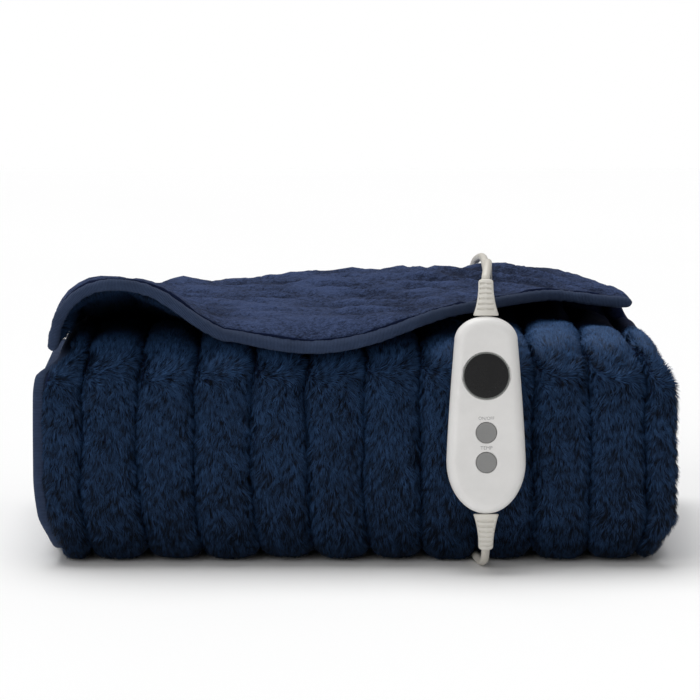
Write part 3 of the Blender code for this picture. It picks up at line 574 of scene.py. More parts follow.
def leaned(x, z):
    """Where a column lies at a height: the pile narrows towards its top and slips right at its foot."""
    strip = np.clip((FIRST_SEAM - x) / (FIRST_SEAM - LEFT_RIM), 0, 1)
    fold = np.clip((x - SHOULDER_X) / (RIGHT_RIM - SHOULDER_X), 0, 1)
    shift = TUCK * strip * between(z, TUCK_Z) - SHOULDER * fold * between(z, SHOULDER_Z)
    shift = shift + FOOT_SHIFT * (1 - ease(z / FOOT_SHIFT_Z)) * (1 - between(x, FOOT_SHIFT_X))
    return x * (1 - TOP_NARROWING * between(z, TOP_NARROWING_Z)) + shift


def settled(points):
    """How the stack rests: swollen behind its front edge, sunk at its back right, tucked in at its feet."""
    x, y, z = np.moveaxis(points, -1, 0)
    rows = np.array(SWELL)
    lift = np.interp(x, rows[:, 0], rows[:, 1]) * between(y, SWELL_Y)
    lift = lift * np.clip((z - layer(5)) / (FLAP_LOW - layer(5)), 0, 1)
    sink = SINK * between(x, SINK_X) * np.clip((y - SINK_Y[0]) / (SINK_Y[1] - SINK_Y[0]), 0, 1)
    front_foot = (1 - between(y, FOOT_TUCK_Y)) * (1 - between(z, FOOT_TUCK_Z))
    ends = ease((np.abs(x) - FOOT_TUCK_X) / (RIGHT_RIM - FOOT_TUCK_X))
    return np.stack([x - FOOT_TUCK * np.sign(x) * front_foot * ends, y, z * (1 - sink) + lift], -1)


def bezier(start, leave, arrive, end, steps=80):
    """Points of a cubic from start to end with two handles between."""
    t = np.linspace(0, 1, steps)[:, None]
    start, leave, arrive, end = (np.array(p, float) for p in (start, leave, arrive, end))
    return (1 - t) ** 3 * start + 3 * t * (1 - t) ** 2 * leave + 3 * t * t * (1 - t) * arrive + t ** 3 * end


def along(line, distance):
    """Points at given distances along a polyline, straight on past its end."""
    step = np.hypot(*np.diff(line, axis=0).T)
    run = np.concatenate([[0], np.cumsum(step)])
    beyond = np.maximum(distance - run[-1], 0)[..., None]
    direction = (line[-1] - line[-2]) / step[-1]
    point = np.stack([np.interp(distance, run, line[:, axis]) for axis in range(2)], -1)
    return point + beyond * direction


def flap_lying(x, part):
    """y and z of the flap where it lies on the folded sheet: level, then down the front shoulder."""
    flat_run = FLAP_FOLD_Y - FRONT_START
    distance = part * (flat_run + reach_of(x))
    rise = between(x, RISE_X)
    over = [along(wrap_profile(FLAP_LOW + lift - layer(5), FLAP_LOW + lift - WRAP_MIDDLE, 80, 0.0)[::-1],
                  np.maximum(distance - flat_run, 0)) for lift in (0.0, FLAP_RISE)]
    over = over[0] * (1 - rise[..., None]) + over[1] * rise[..., None]
    level = distance <= flat_run
    y = np.where(level, FLAP_FOLD_Y - distance, over[..., 0])
    z = np.where(level, FLAP_LOW + FLAP_RISE * rise * ease(part / RISE_PART), over[..., 1])
    return y, z


def flap_surface(base_x, parts):
    """The flap's middle: it lies flat at the right, and its front left corner lifts in a curl.

    Left of the curl's start a column is found by its distance along the flap's section there, which
    goes over from a flat section that hangs down at the end to a lifted arch near the front edge.
    """
    x = np.broadcast_to(leaned(base_x, FLAP_LOW), (len(parts), len(base_x)))
    part = np.broadcast_to(parts[:, None], x.shape)
    y, z = flap_lying(x, part)
    start = flap_lying(np.full(len(parts), CURL_START), parts)[1][:, None]
    lift = ease((part - CURL_FROM) / CURL_OVER)
    share = np.clip((CURL_START - x) / (CURL_START - leaned(LEFT_RIM, FLAP_LOW)), 0, 1)
    pulled = (BACK_PULL * ease(part / BACK_PULL_PART) + (CURL_PULL - BACK_PULL) * lift) * share
    distance = np.maximum(CURL_START - x, 0) + pulled
    turn = np.linspace(0, math.pi / 2, 24)
    flat = np.stack([HANG_X + HANG_BEND * (1 - np.sin(turn)), FLAP_LOW - HANG_BEND * (1 - np.cos(turn))], 1)
    flat = np.concatenate([[[CURL_START, FLAP_LOW]], flat])
    rise = bezier((CURL_START, FLAP_LOW), (CURL_START - CURL_LEAVE[0], FLAP_LOW + CURL_LEAVE[1]),
                  (CURL_PEAK[0] + CURL_TOP[0], CURL_PEAK[1]), CURL_PEAK)
    drop = bezier(CURL_PEAK, (CURL_PEAK[0] - CURL_TOP[1], CURL_PEAK[1]),
                  (CURL_END[0], CURL_END[1] + CURL_TOP[1]), CURL_END)
    arch = np.concatenate([rise, drop[1:]])
    section = along(flat, distance) * (1 - lift[..., None]) + along(arch, distance) * lift[..., None]
    fade = np.clip(1 - distance / CURL_BLEND, 0, 1)
    curled = x < CURL_START
    return np.stack([np.where(curled, section[..., 0], x), y,
                     np.where(curled, section[..., 1] + (start - FLAP_LOW) * fade, z)], -1)


def normals_of(grid):
    """Unit normals of a grid of points on the plush side: across x along."""
    normal = np.cross(np.gradient(grid, axis=1), np.gradient(grid, axis=0))
    return normal / np.linalg.norm(normal, axis=2, keepdims=True)


line, slim, wrap_row = fold_line()
column_x, across, round_end = widths()
parts = np.linspace(0, 1, FLAP_ROWS + 1)[1:]
folded = np.stack([leaned(column_x[None, :], line[:, 1:]) + 0 * line[:, :1],
                   line[:, :1] + 0 * column_x[None, :], line[:, 1:] + 0 * column_x[None, :]], 2)
middle = settled(np.concatenate([folded, flap_surface(column_x, parts)]))
rows_to_flap = len(line)
is_flap = np.concatenate([np.zeros(rows_to_flap), np.ones(FLAP_ROWS)])[:, None]
is_flap[rows_to_flap - MERGE_ROWS:rows_to_flap, 0] = np.linspace(0, 1, MERGE_ROWS)
slim = np.concatenate([slim, np.ones(FLAP_ROWS)])[:, None]
MEASURED_COLUMN = 60
length_at = run_of(middle[:, MEASURED_COLUMN])[:, None] + 0 * across[None, :]
width_at = column_x[None, :] + 0 * length_at
row_number = np.arange(len(middle))[:, None]

# The seams wander a little, and the filling of each channel is uneven along its length.
normal = normals_of(middle)
wander = SEAM_WANDER * ripple(width_at, length_at, 0.075, 3)
inside = np.clip(np.minimum(column_x - LEFT_RIM, RIGHT_RIM - column_x) / RIM_STRIP, 0, 1)[None, :]
middle[..., 0] += wander * inside
channel_number = np.floor((column_x - FIRST_SEAM) / CHANNEL)
channel_place = channel_number[None, :] * CHANNEL_SHIFT + 0 * length_at
fullness = 1
for share, size, seed in FILLING:
    fullness = fullness + share * ripple(channel_place, length_at, size, seed)
fullness += BACK_FULLNESS * (row_number < wrap_row)
full = puff(across)[None, :]
shoulder = between(middle[..., 2], PUCKER_Z) * between(middle[..., 0], PUCKER_X) * (1 - is_flap)
fold_height = middle[..., 2] + 0.010 * np.cos(math.pi * (across - 0.5))[None, :] * 1.2
pucker = np.abs(np.sin(math.pi * (fold_height / PUCKER_PITCH + 0.35 * channel_place))) ** 0.5
fullness += (0.16 * pucker - 0.10) * shoulder * full
plush_side = (CORE_SEAM + (CORE_CROWN - CORE_SEAM) * full * slim * fullness) * (1 - is_flap)
plush_side += (CORE_SEAM + (FLAP_PLUSH - CORE_SEAM) * full) * is_flap
fleece_side = (FLEECE_SEAM + (FLEECE_CROWN - FLEECE_SEAM) * full * slim) * (1 - is_flap)

# Soft wrinkles run over the fleece from the lower left to the upper right of the flap: long ridges
# 1.2 - 2.6 |tanh(0.9 r)| of one ripple r, with two finer ripples on them.
sin, cos = math.sin(WRINKLE_SLANT), math.cos(WRINKLE_SLANT)
run_x = middle[..., 0] * cos - middle[..., 1] * sin
run_y = middle[..., 0] * sin + middle[..., 1] * cos
ridge, crimp, nap = WRINKLE_SIZES
crease = 1.2 - 2.6 * np.abs(np.tanh(0.9 * ripple(run_x * 0.24, run_y, ridge, 21)))
crease += 0.7 * ripple(run_x * 0.4, run_y, crimp, 22) + 0.25 * ripple(run_x, run_y, nap, 23)
edge_calm = 0.35 + 0.65 * ease((1 - np.concatenate([np.zeros(rows_to_flap), parts]))[:, None] / CALM_EDGE)
fleece_side += (FLAP_FLEECE + WRINKLE_DEPTH * crease * edge_calm - 0.0006 * (1 - full)) * is_flap
plush_face = middle + normal * (plush_side * round_end)[..., None]
fleece_face = middle - normal * (fleece_side * round_end)[..., None]
plush_face[..., 2] = np.maximum(plush_face[..., 2], FLOOR_CLEARANCE)


def plush_cloth():
    """The woven ground under the pile, painted nearly black as the shade between the hairs."""
    made = Finish("plush_ground", Roughness=0.95, Specular_IOR_Level=0.1)
    grain = made.noise(made.place(), 260.0, 3.0)
    return made.feed(Base_Color=made.mix(grain, (0.003, 0.006, 0.022, 1), (0.008, 0.015, 0.050, 1)),
                     Normal=made.bump(grain, 0.0015, 0.8))


def fleece_cloth():
    """Short brushed fleece: a soft nap in small clumps, with painted light on the wrinkles' ridges and
    painted shade in their valleys.
    """
    made = Finish("fleece", Roughness=0.93, Specular_IOR_Level=0.15, Sheen_Weight=0.10,
                  Sheen_Roughness=0.45, Sheen_Tint=(0.22, 0.30, 0.62, 1))
    where = made.place()
    clumps = made.noise(where, 230.0, 4.0, 0.62)
    fibres = made.noise(made.stretched(where, (1.0, 0.45, 1.0)), 1400.0, 3.0, 0.7)
    patches = made.noise(where, 24.0, 3.0)
    curls = made.noise(where, 620.0, 3.0, 0.6)
    # The crease term is painted shade in the wrinkles' valleys and painted light on their ridges.
    tone = clumps * 0.45 + fibres * 0.20 + patches * 0.25 + curls * 0.45 + made.kept("crease") * 0.060
    shade = made.spread(tone, 0.565, 0.80)
    nap = clumps * 0.7 + fibres * 0.3 + curls * 0.8
    return made.feed(Base_Color=made.mix(shade, (0.0040, 0.0090, 0.027, 1), (0.046, 0.072, 0.165, 1)),
                     Normal=made.bump(nap, 0.0024, 1.0))


rows, columns = middle.shape[:2]
outer_faces = grid_faces(rows, columns)
inner_faces = grid_faces(rows, columns, rows * columns, flip=True)
number = np.arange(rows * columns).reshape(rows, columns)
rim = np.concatenate([number[0, :-1], number[:-1, -1], number[-1, :0:-1], number[:0:-1, 0]])
after = np.roll(rim, -1)
rim_faces = np.stack([after, rim, rim + rows * columns, after + rows * columns], 1)
all_faces = np.concatenate([outer_faces, inner_faces, rim_faces])[:, ::-1]
both_faces = np.concatenate([plush_face.reshape(-1, 3), fleece_face.reshape(-1, 3)])
core_mesh = mesh_of("quilt", from_throw(both_faces), all_faces)
# The wrinkles' heights are kept on the mesh so the fleece can paint light on their ridges and shade in their
# valleys.
stored(core_mesh, "crease", np.concatenate([(crease * edge_calm).ravel()] * 2))
quilt = piece("quilt", core_mesh, plush_cloth(), fleece_cloth())
slots = np.concatenate([np.zeros(len(outer_faces)), np.ones(len(inner_faces)), np.zeros(len(rim_faces))])
quilt.data.polygons.foreach_set("material_index", slots.astype(np.int32))
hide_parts("blanket")

# ---------------------------------------------------------------- plush pile
# Soft cut hairs, shorter at the seams, brushed down over the channels and towards the back on top.
# A blade stands for a few hairs that cling together, and the blades of a stretch are one mesh.
BLADE_LENGTH = 0.0056
BLADE_WIDTH = 0.00075
ROOT_SUNK = 0.0005
TIP_CLEARANCE = 0.0004
LOCK = 0.0017                  # metres across a lock of hairs
FINE_LOCK = 0.0009
CLUMP = 0.0030
PATCH = 0.017
LEVEL_FROM = 0.28              # how far a face looks up before its pile begins to turn back
LEVEL_OVER = 0.55
FRONT_PILE_ENDS = 14           # rows short of the flap, in its shade
FRONT_PILE_Y = -0.02
CURL_PILE_FROM = 30            # rows into the flap, where its corner shows its underside
CURL_PILE_X = -0.05
CURL_PILE_TALL = 2.4
BACK_PILE_Y = 0.098
THIRDS = (
    # name, from x, to x, seed
    ("pile_left", -0.3, -0.07, 101), ("pile_middle", -0.07, 0.07, 201), ("pile_right", 0.07, 0.3, 301),
)


def pile_finish():
    """Hair with painted shade deep in the pile towards its root and painted shade towards the floor, with
    locks that differ a little in depth of colour.
    """
    made = Finish("plush_pile", Roughness=0.60, Specular_IOR_Level=0.12)
    # tip runs from 0 at a blade's root to 1 at its tip: painted shade deep in the pile.
    tip = made.node("ShaderNodeSeparateColor", None, [made.kept("strand", 0)])
    lock = Value(made, tip.link.node.outputs[1])
    patches = made.noise(made.place(), 38.0, 3.0, 0.6)
    # Height above the floor: the pile is darker lower down, painted shade.
    height = made.node("ShaderNodeSeparateXYZ", None, [made.place()], 2)
    light = tip * 0.26 + lock * 1.60 + patches * 0.50 + made.spread(height, 0.015, 0.150) * 0.50 - 1.20
    return made.feed(Base_Color=made.mix(light, (0.0006, 0.0032, 0.0098, 1), (0.034, 0.088, 0.215, 1)),
                     Normal=made.kept("lay", 1))


PILE = pile_finish()


def pile_on(name, chosen, count, seed, tall=1.0):
    """Blades on the plush face: each a triangle from two root points to a tip.

    Roots are drawn by area on the chosen cells. A tip lies one blade length down the sheet from its
    root, swung aside by patches and clumps and right round on faces that look up, and stands above
    the cloth by the pile's height. Its shading leans with the locks.
    """
    draw = np.random.default_rng(seed)
    a, b, c = plush_face[:-1, :-1], plush_face[1:, :-1], plush_face[:-1, 1:]
    area = np.linalg.norm(np.cross(b - a, c - a), axis=2) * chosen[:-1, :-1]
    chance = np.cumsum(area.ravel())
    cell = np.minimum(np.searchsorted(chance, draw.uniform(0, chance[-1], count)), area.size - 1)
    row, column = np.unravel_index(cell, area.shape)
    s, t = draw.random((2, count))
    corners = ((row, column, (1 - s) * (1 - t)), (row + 1, column, s * (1 - t)),
               (row, column + 1, (1 - s) * t), (row + 1, column + 1, s * t))

    def read(grid):
        return sum(grid[i, j] * weight[:, None] for i, j, weight in corners)

    root, up, down = read(plush_face), read(turned), -read(along_row)
    u, v, depth = read(sheet_place).T
    up /= np.linalg.norm(up, axis=1, keepdims=True)
    down -= up * np.sum(up * down, axis=1, keepdims=True)
    down /= np.linalg.norm(down, axis=1, keepdims=True)
    side = np.cross(up, down)
    lock = ripple(u, v * 0.26, LOCK, seed + 1, 22)
    fine = ripple(u, v * 0.30, FINE_LOCK, seed + 2, 22)
    patch = ripple(u, v * 0.8, PATCH, seed + 3)
    swing = 0.34 * patch + 0.26 * ripple(u, v * 0.35, CLUMP, seed + 4, 20) + 0.20 * draw.normal(size=count)
    upward = ease((up[:, 2] - LEVEL_FROM) / LEVEL_OVER)
    swing += math.pi * upward
    ahead = down * np.cos(swing)[:, None] + side * np.sin(swing)[:, None]
    across_hair = side * np.cos(swing)[:, None] - down * np.sin(swing)[:, None]
    stand = PILE_HEIGHT * (0.45 + 0.55 * depth) * (1 + 0.26 * lock + 0.16 * draw.normal(size=count))
    length = BLADE_LENGTH * (1 + 0.10 * lock + 0.14 * draw.normal(size=count))
    tip = root + up * (stand * tall)[:, None] + ahead * length[:, None]
    tip[:, 2] = np.maximum(tip[:, 2], TIP_CLEARANCE)
    half = (across_hair + up * draw.normal(size=count)[:, None] * 0.35) * (BLADE_WIDTH / 2)
    half *= np.where(np.sum(np.cross(half, tip - root) * up, axis=1) > 0, -1, 1)[:, None]
    half *= draw.uniform(0.7, 1.3, count)[:, None]
    root = root - up * ROOT_SUNK
    points = np.stack([root + half, root - half, tip], 1).reshape(-1, 3)
    made = mesh_of(name, from_throw(points), np.arange(3 * count).reshape(-1, 3))
    facing = up + side * (0.50 * ripple(u, v * 0.26, 0.0021, seed + 5, 22))[:, None]
    facing += side * (0.32 * fine)[:, None] + ahead * ((0.20 + 0.34 * lock) * (1 - upward))[:, None]
    facing /= np.linalg.norm(facing, axis=1, keepdims=True)
    lay = made.attributes.new("lay", "FLOAT_VECTOR", "POINT")
    lay.data.foreach_set("vector", np.repeat(facing, 3, 0).astype(np.float32).ravel())
    strand = made.color_attributes.new("strand", "FLOAT_COLOR", "POINT")
    colour = np.zeros((count, 3, 4))
    # Red marks the tip, for the painted shade towards each blade's root.
    colour[:, 2, 0] = 1
    tone = 0.5 + 0.36 * lock + 0.14 * fine + 0.06 * patch + 0.05 * draw.normal(size=count)
    colour[..., 1] = np.clip(tone, 0, 1)[:, None]
    colour[..., 3] = 1
    strand.data.foreach_set("color", colour.astype(np.float32).ravel())
    blades = piece(name, made, PILE)
    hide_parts("blanket")


along_row = np.gradient(middle, axis=0)
turned = normals_of(plush_face)
sheet_place = np.stack([width_at, length_at, full + 0 * length_at], 2)
depths = middle[..., 1]
front = (row_number >= wrap_row) & (row_number < rows_to_flap - FRONT_PILE_ENDS) & (depths < FRONT_PILE_Y)
for name, low, high, seed in THIRDS:
    pile_on(name, front & (column_x >= low) & (column_x < high), 140000, seed)
under_flap = (row_number > rows_to_flap + CURL_PILE_FROM) & (column_x < CURL_PILE_X)
pile_on("pile_flap", under_flap, 60000, 401, CURL_PILE_TALL)
at_back = (row_number < wrap_row) & (depths > BACK_PILE_Y)
pile_on("pile_back", at_back, 120000, 501)

# ---------------------------------------------------------------- edge binding
# A knitted tape folded round the sheet's edge and sewn through, on the long left edge and both ends.
# Fine ribs cross it, and its seam draws a shallow line near its inner side.
TAPE_WIDTH = 0.0092
TAPE_THICK = 0.0074
TAPE_STEP = 0.0012
TAPE_SIDES = 18
TAPE_LAP = 0.0014              # how far the tape reaches over the cloth
TAPE_END = 0.0045              # length over which its ends are rounded
TAPE_POWER = 2.6
RIB_PITCH = 0.00095
STITCH_RATE = 1900.0


def binding_tape():
    """Ribs from a sine along the tape, with a seam line on its inner part."""
    made = Finish("binding_tape", Roughness=0.85, Specular_IOR_Level=0.2, Sheen_Weight=0.06,
                  Sheen_Roughness=0.4, Sheen_Tint=(0.30, 0.40, 0.66, 1))
    along, around = made.kept("along"), made.kept("around")
    ribs = (along * (2 * math.pi / RIB_PITCH)).maths("SINE") * 0.5 + 0.5
    seam = around.maths("COMPARE", -0.58, 0.10)
    stitch = seam * made.spread((along * STITCH_RATE).maths("SINE"), -0.3, 0.5)
    fibre = made.noise(made.place(), 900.0, 3.0, 0.7)
    uneven = made.noise(made.place(), 90.0, 3.0)
    tone = ribs * 0.45 + fibre * 0.35 + uneven * 0.45 - 0.15 - seam * 0.35
    return made.feed(Base_Color=made.mix(tone, (0.010, 0.018, 0.044, 1), (0.050, 0.080, 0.160, 1)),
                     Normal=made.bump(ribs * 0.8 + fibre * 0.5 + stitch * 0.6 - seam * 1.2, 0.0007, 0.9))


def squared_round(sides, power):
    """A round pushed out towards a square: the points of |a|^n + |b|^n = 1 at even turns."""
    turn = np.linspace(0, 2 * math.pi, sides, endpoint=False)
    return (np.sign(way) * np.abs(way) ** (2 / power) for way in (np.cos(turn), np.sin(turn)))


def tape(name, replaced, edge, outwards, upwards, seed):
    """A tape along an edge: |a|^2.6 + |b|^2.6 = 1 in section, slightly puckered by its stitches."""
    run = run_of(edge)
    even = np.linspace(0, run[-1], round(run[-1] / TAPE_STEP) + 1)
    edge, outwards, upwards = (np.stack([np.interp(even, run, rows[:, axis]) for axis in range(3)], 1)
                               for rows in (edge, outwards, upwards))
    upwards /= np.linalg.norm(upwards, axis=1, keepdims=True)
    outwards = outwards - upwards * np.sum(outwards * upwards, axis=1, keepdims=True)
    outwards /= np.linalg.norm(outwards, axis=1, keepdims=True)
    a, b = squared_round(TAPE_SIDES, TAPE_POWER)
    pucker = 1 + 0.05 * ripple(even, 0 * even, 0.009, seed) + 0.03 * ripple(even, 0 * even, 0.0035, seed + 1)
    from_end = np.minimum(even, even[-1] - even) / TAPE_END
    rounded = np.sqrt(np.clip(1 - (1 - from_end).clip(0) ** 2, 0.04, 1))
    centre = edge + outwards * (TAPE_WIDTH / 2 - TAPE_LAP)
    wide = a[None, :] * (TAPE_WIDTH / 2 * rounded)[:, None]
    deep = b[None, :] * (TAPE_THICK / 2 * pucker * rounded)[:, None]
    rings = centre[:, None] + outwards[:, None] * wide[..., None] + upwards[:, None] * deep[..., None]
    rings[..., 2] = np.maximum(rings[..., 2], 0.0003)
    made = closed(name, rings, TAPE)
    stored(made.data, "along", np.concatenate([np.repeat(even, TAPE_SIDES), even[:1], even[-1:]]))
    stored(made.data, "around", np.concatenate([np.tile(a, len(even)), [0, 0]]))
    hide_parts(replaced)


TAPE = binding_tape()
sheet_normal = normals_of(middle)
tape("tape_side", "binding_side", middle[:, 0], middle[:, 0] - middle[:, 1], sheet_normal[:, 0], 501)
for name, replaced, row, inner_row, seed in (("tape_front", "binding_front", -1, -2, 511),
                                             ("tape_end", "binding_end", 0, 1, 521)):
    beyond = middle[row, :1] - middle[row, 1:2]
    start = middle[row, :1] + beyond / np.linalg.norm(beyond) * (TAPE_WIDTH - TAPE_LAP)
    outwards = middle[row] - middle[inner_row]
    tape(name, replaced, np.concatenate([start, middle[row]]), np.concatenate([outwards[:1], outwards]),
         np.concatenate([sheet_normal[row, :1], sheet_normal[row]]), seed)

# ---------------------------------------------------------------- hand control
# Two white moulded halves meet at a seam round the side. A round dark display and two press buttons
# sit in pockets of the front, with small grey lettering over each button.
HALF_WIDTH = 0.0258
TOP_HALF_WIDTH = 0.0206
LOWER_END = 0.034
UPPER_END = 0.016
HALF_DEPTH = 0.010
EDGE_FROM = 0.0035             # depth at which the rounded edge begins
EDGE_IN = 0.0068               # how far it draws the outline in
DISPLAY_Z = 0.0899
DISPLAY_RADIUS = 0.0153
DISPLAY_DEPTH = 0.0012
RIM_RADIUS = 0.01485
RIM_BEAD = 0.00035
BUTTON_RADIUS = 0.0066
BUTTON_SUNK = 0.0021
BUTTON_PROUD = 0.0005
BUTTON_FLOOR = 0.0009          # room under a button for its travel
DISC_SIDES = 96
FILM = 0.00006                 # thickness of the printed words
FILM_UNDER = 0.0001
BUTTONS = (
    # node and body, height up the control, word over it, word's height up the control, its width
    ("button_power", "power_button", 0.0529, "ON/OFF", 0.0623, 0.0103),
    ("button_temp", "temp_button", 0.0335, "TEMP", 0.0430, 0.0078),
)


def on_control(points):
    """Turns points of the control's own frame by its lean and puts them in its place."""
    x, y, z = np.moveaxis(np.asarray(points, float), -1, 0)
    sin, cos = math.sin(CONTROL_LEAN), math.cos(CONTROL_LEAN)
    return np.stack([x, y * cos + z * sin, z * cos - y * sin], -1) + CONTROL_AT


def control_outline(inset):
    """Two elliptical ends joined by sides that taper by t^1.25, moved inwards by an inset."""
    low_turn, high_turn = np.linspace(0, math.pi / 2, 40), np.linspace(0, math.pi / 2, 28)
    low = np.stack([HALF_WIDTH * np.sin(low_turn), LOWER_END * (1 - np.cos(low_turn))], 1)
    top_z = CONTROL_LENGTH - UPPER_END
    t = np.linspace(0, 1, 32)[1:-1]
    sides = np.stack([HALF_WIDTH - (HALF_WIDTH - TOP_HALF_WIDTH) * t ** 1.25,
                      LOWER_END + (top_z - LOWER_END) * t], 1)
    high = np.stack([TOP_HALF_WIDTH * np.cos(high_turn), top_z + UPPER_END * np.sin(high_turn)], 1)
    half = np.concatenate([low, sides, high])
    loop = np.concatenate([half, half[-2:0:-1] * (-1, 1)])
    edge = np.roll(loop, -1, axis=0) - np.roll(loop, 1, axis=0)
    inwards = np.stack([-edge[:, 1], edge[:, 0]], 1)
    return loop + inwards / np.linalg.norm(inwards, axis=1, keepdims=True) * inset


def circle(radius, height, sides=64):
    """Points of a circle in x and height, by cos and sin of a full turn."""
    turn = np.linspace(0, 2 * math.pi, sides, endpoint=False)
    return np.stack([radius * np.cos(turn), height + radius * np.sin(turn)], 1)


def shell_half(name, replaced, side, pockets):
    """One half: rings that follow a rounded edge in depth, a flat face, and round pockets sunk into it."""
    profile = [(GAP / 2, 0.0006), (0.0005, 0.0001), (0.0009, 0.0)]
    profile += [(EDGE_FROM + (HALF_DEPTH - EDGE_FROM) * math.sin(a), EDGE_IN * (1 - math.cos(a)) ** 0.9)
                for a in np.linspace(0, math.pi / 2, 14)]
    profile += [(HALF_DEPTH, 0.0071)]
    walls = [[np.insert(control_outline(inset), 1, side * depth, axis=1) for depth, inset in profile]]
    for height, radius, depth in pockets:
        steps = [(radius + 0.0006, 0.0), (radius + 0.0003, 0.0), (radius + 0.0001, 0.00012), (radius, 0.0004),
                 (radius, depth), (radius - 0.0002, depth), (0.3 * radius, depth)]
        walls.append([np.insert(circle(size, height), 1, side * (HALF_DEPTH - sunk), axis=1)
                      for size, sunk in steps])
    points, faces, rims, first = [], [], [], 0
    for number, wall in enumerate(walls):
        rings = np.stack(wall)
        points.append(rings.reshape(-1, 3))
        faces.append(grid_faces(*rings.shape[:2], first, around=True, flip=side > 0))
        size = rings.shape[1]
        rims.append(np.arange(size) + first + (len(wall) - 1) * size * (number == 0))
        inner = np.arange(size) + first + (len(wall) - 1) * size * (number > 0)
        centre = first + len(wall) * size
        points.append(rings[0 if number == 0 else -1].mean(0, keepdims=True))
        fan = np.stack([inner, np.roll(inner, -1), np.full(size, centre)], 1)
        faces.append(fan if (side < 0) == (number > 0) else fan[:, ::-1])
        first = centre + 1
    points = np.concatenate(points)
    order = np.concatenate(rims)
    flat = tessellate_polygon([[tuple(points[i, [0, 2]]) + (0.0,) for i in rim] for rim in rims])
    flat = order[np.array(flat)]
    a, b, c = (points[flat[:, corner]] for corner in range(3))
    wrong = np.cross(b - a, c - a)[:, 1] * side < 0
    flat[wrong] = flat[wrong][:, ::-1]
    made = piece(name, mesh_of(name, from_throw(on_control(points)), faces + [flat]), WHITE_PLASTIC)
    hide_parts(replaced)


def turned_rings(height, profile):
    """Circles about a depth axis at a height up the control: the profile gives each radius and depth."""
    return np.stack([np.insert(circle(radius, height, DISC_SIDES), 1, depth, axis=1)
                     for radius, depth in profile])


def turned_disc(name, replaced, body, height, profile, finish):
    """A closed disc from turned rings, listed from its back to its front."""
    made = closed(name, on_control(turned_rings(height, profile)), finish, body=body)
    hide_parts(replaced)


def lettering(word, height, width):
    """A word cut in thin film on the control's face, centred at a height."""
    cut = bpy.data.curves.new("word", "FONT")
    cut.body, cut.align_x, cut.align_y, cut.extrude = word, "CENTER", "CENTER", 0.01
    held = bpy.data.objects.new("word", cut)
    made = bpy.data.meshes.new_from_object(held)
    bpy.data.objects.remove(held)
    points = np.empty(3 * len(made.vertices), np.float32)
    made.vertices.foreach_get("co", points)
    points = points.reshape(-1, 3)
    scale = width / np.ptp(points[:, 0])
    across, up = (points[:, axis] - (points[:, axis].max() + points[:, axis].min()) / 2 for axis in (0, 1))
    film = np.where(points[:, 2] > 0, FILM, -FILM_UNDER)
    placed = np.stack([across * scale, -HALF_DEPTH - film, height + up * scale], 1)
    made.vertices.foreach_set("co", from_throw(on_control(placed)).astype(np.float32).ravel())
    made.name = "word_" + word.replace("/", "_").lower()
    piece(made.name, made, INK)


WHITE_PLASTIC = moulded("white_plastic", (0.81, 0.80, 0.785, 1), (0.765, 0.755, 0.74, 1), 0.36)
BUTTON_GREY = moulded("grey_button", (0.262, 0.262, 0.258, 1), (0.235, 0.235, 0.232, 1), 0.45)
DARK_DISPLAY = moulded("dark_display", (0.0105, 0.0105, 0.011, 1), (0.0085, 0.0085, 0.009, 1),
                       0.26, 700.0, 0.00001)
DISPLAY_RIM = moulded("display_rim", (0.20, 0.21, 0.20, 1), (0.16, 0.17, 0.16, 1), 0.35)
INK = moulded("grey_ink", (0.34, 0.34, 0.34, 1), (0.31, 0.31, 0.31, 1), 0.6)
pockets = [(DISPLAY_Z, DISPLAY_RADIUS + GAP, DISPLAY_DEPTH)]
pockets += [(height, BUTTON_RADIUS + GAP, BUTTON_SUNK + BUTTON_FLOOR) for _, _, height, _, _, _ in BUTTONS]
shell_half("control_shell_front", "control_front", -1, pockets)
shell_half("control_shell_back", "control_back", 1, [])
face = -HALF_DEPTH
glass = [(0.001, face + 0.0011), (0.0148, face + 0.0011), (0.0148, face + 0.0001), (0.0146, face - 0.00004),
         (0.0143, face - 0.00006), (0.010, face - 0.00006), (0.001, face - 0.00006)]
turned_disc("display", "display_window", "root", DISPLAY_Z, glass, DARK_DISPLAY)
bead = [(RIM_RADIUS + RIM_BEAD * math.cos(a), face + 0.0001 - RIM_BEAD * math.sin(a))
        for a in np.linspace(0, math.pi, 9)]
rings = turned_rings(DISPLAY_Z, [(0.0152, face + 0.0010)] + bead + [(0.0145, face + 0.0010)])
rim_mesh = mesh_of("display_rim", from_throw(on_control(rings.reshape(-1, 3))),
                   grid_faces(len(rings), DISC_SIDES, around=True))
piece("display_rim", rim_mesh, DISPLAY_RIM)
for node, body, height, word, word_height, word_width in BUTTONS:
    crown = [(BUTTON_RADIUS, face + BUTTON_SUNK), (BUTTON_RADIUS, face - 0.0001)]
    crown += [(BUTTON_RADIUS - 0.0005 * (1 - math.cos(a)), face - 0.0001 - 0.0004 * math.sin(a))
              for a in np.linspace(0.3, math.pi / 2, 6)]
    crown += [(radius, face - BUTTON_PROUD) for radius in (0.0058, 0.0040, 0.001)]
    turned_disc(node.replace("button_", "press_button_"), node, body, height, crown, BUTTON_GREY)
    lettering(word, word_height, word_width)

# ---------------------------------------------------------------- strain reliefs
# Cream rubber sleeves moulded on the lead where it enters the control, flared at their roots.
# Each has six slots in two columns on its faces, so that it bends evenly.
RELIEF_ROOT = (0.0085, 0.0060)
RELIEF_TIP = (0.0049, 0.0045)
RELIEF_SIDES = 72
RELIEF_POWER = 3.4
SLOTS = 6
SLOT_DEPTH = 0.0013
SLOT_FROM = 0.10               # share of the length before the first slot
SLOT_SPAN = 0.84
COLUMN = (0.16, 0.82)          # shares of the half width between which a slot runs


def grooves(phase, half_width, edge):
    """1 in the middle of each whole step of phase, 0 between, with edges eased over a share of a step."""
    return ease((half_width - np.abs(phase % 1 - 0.5)) / edge)


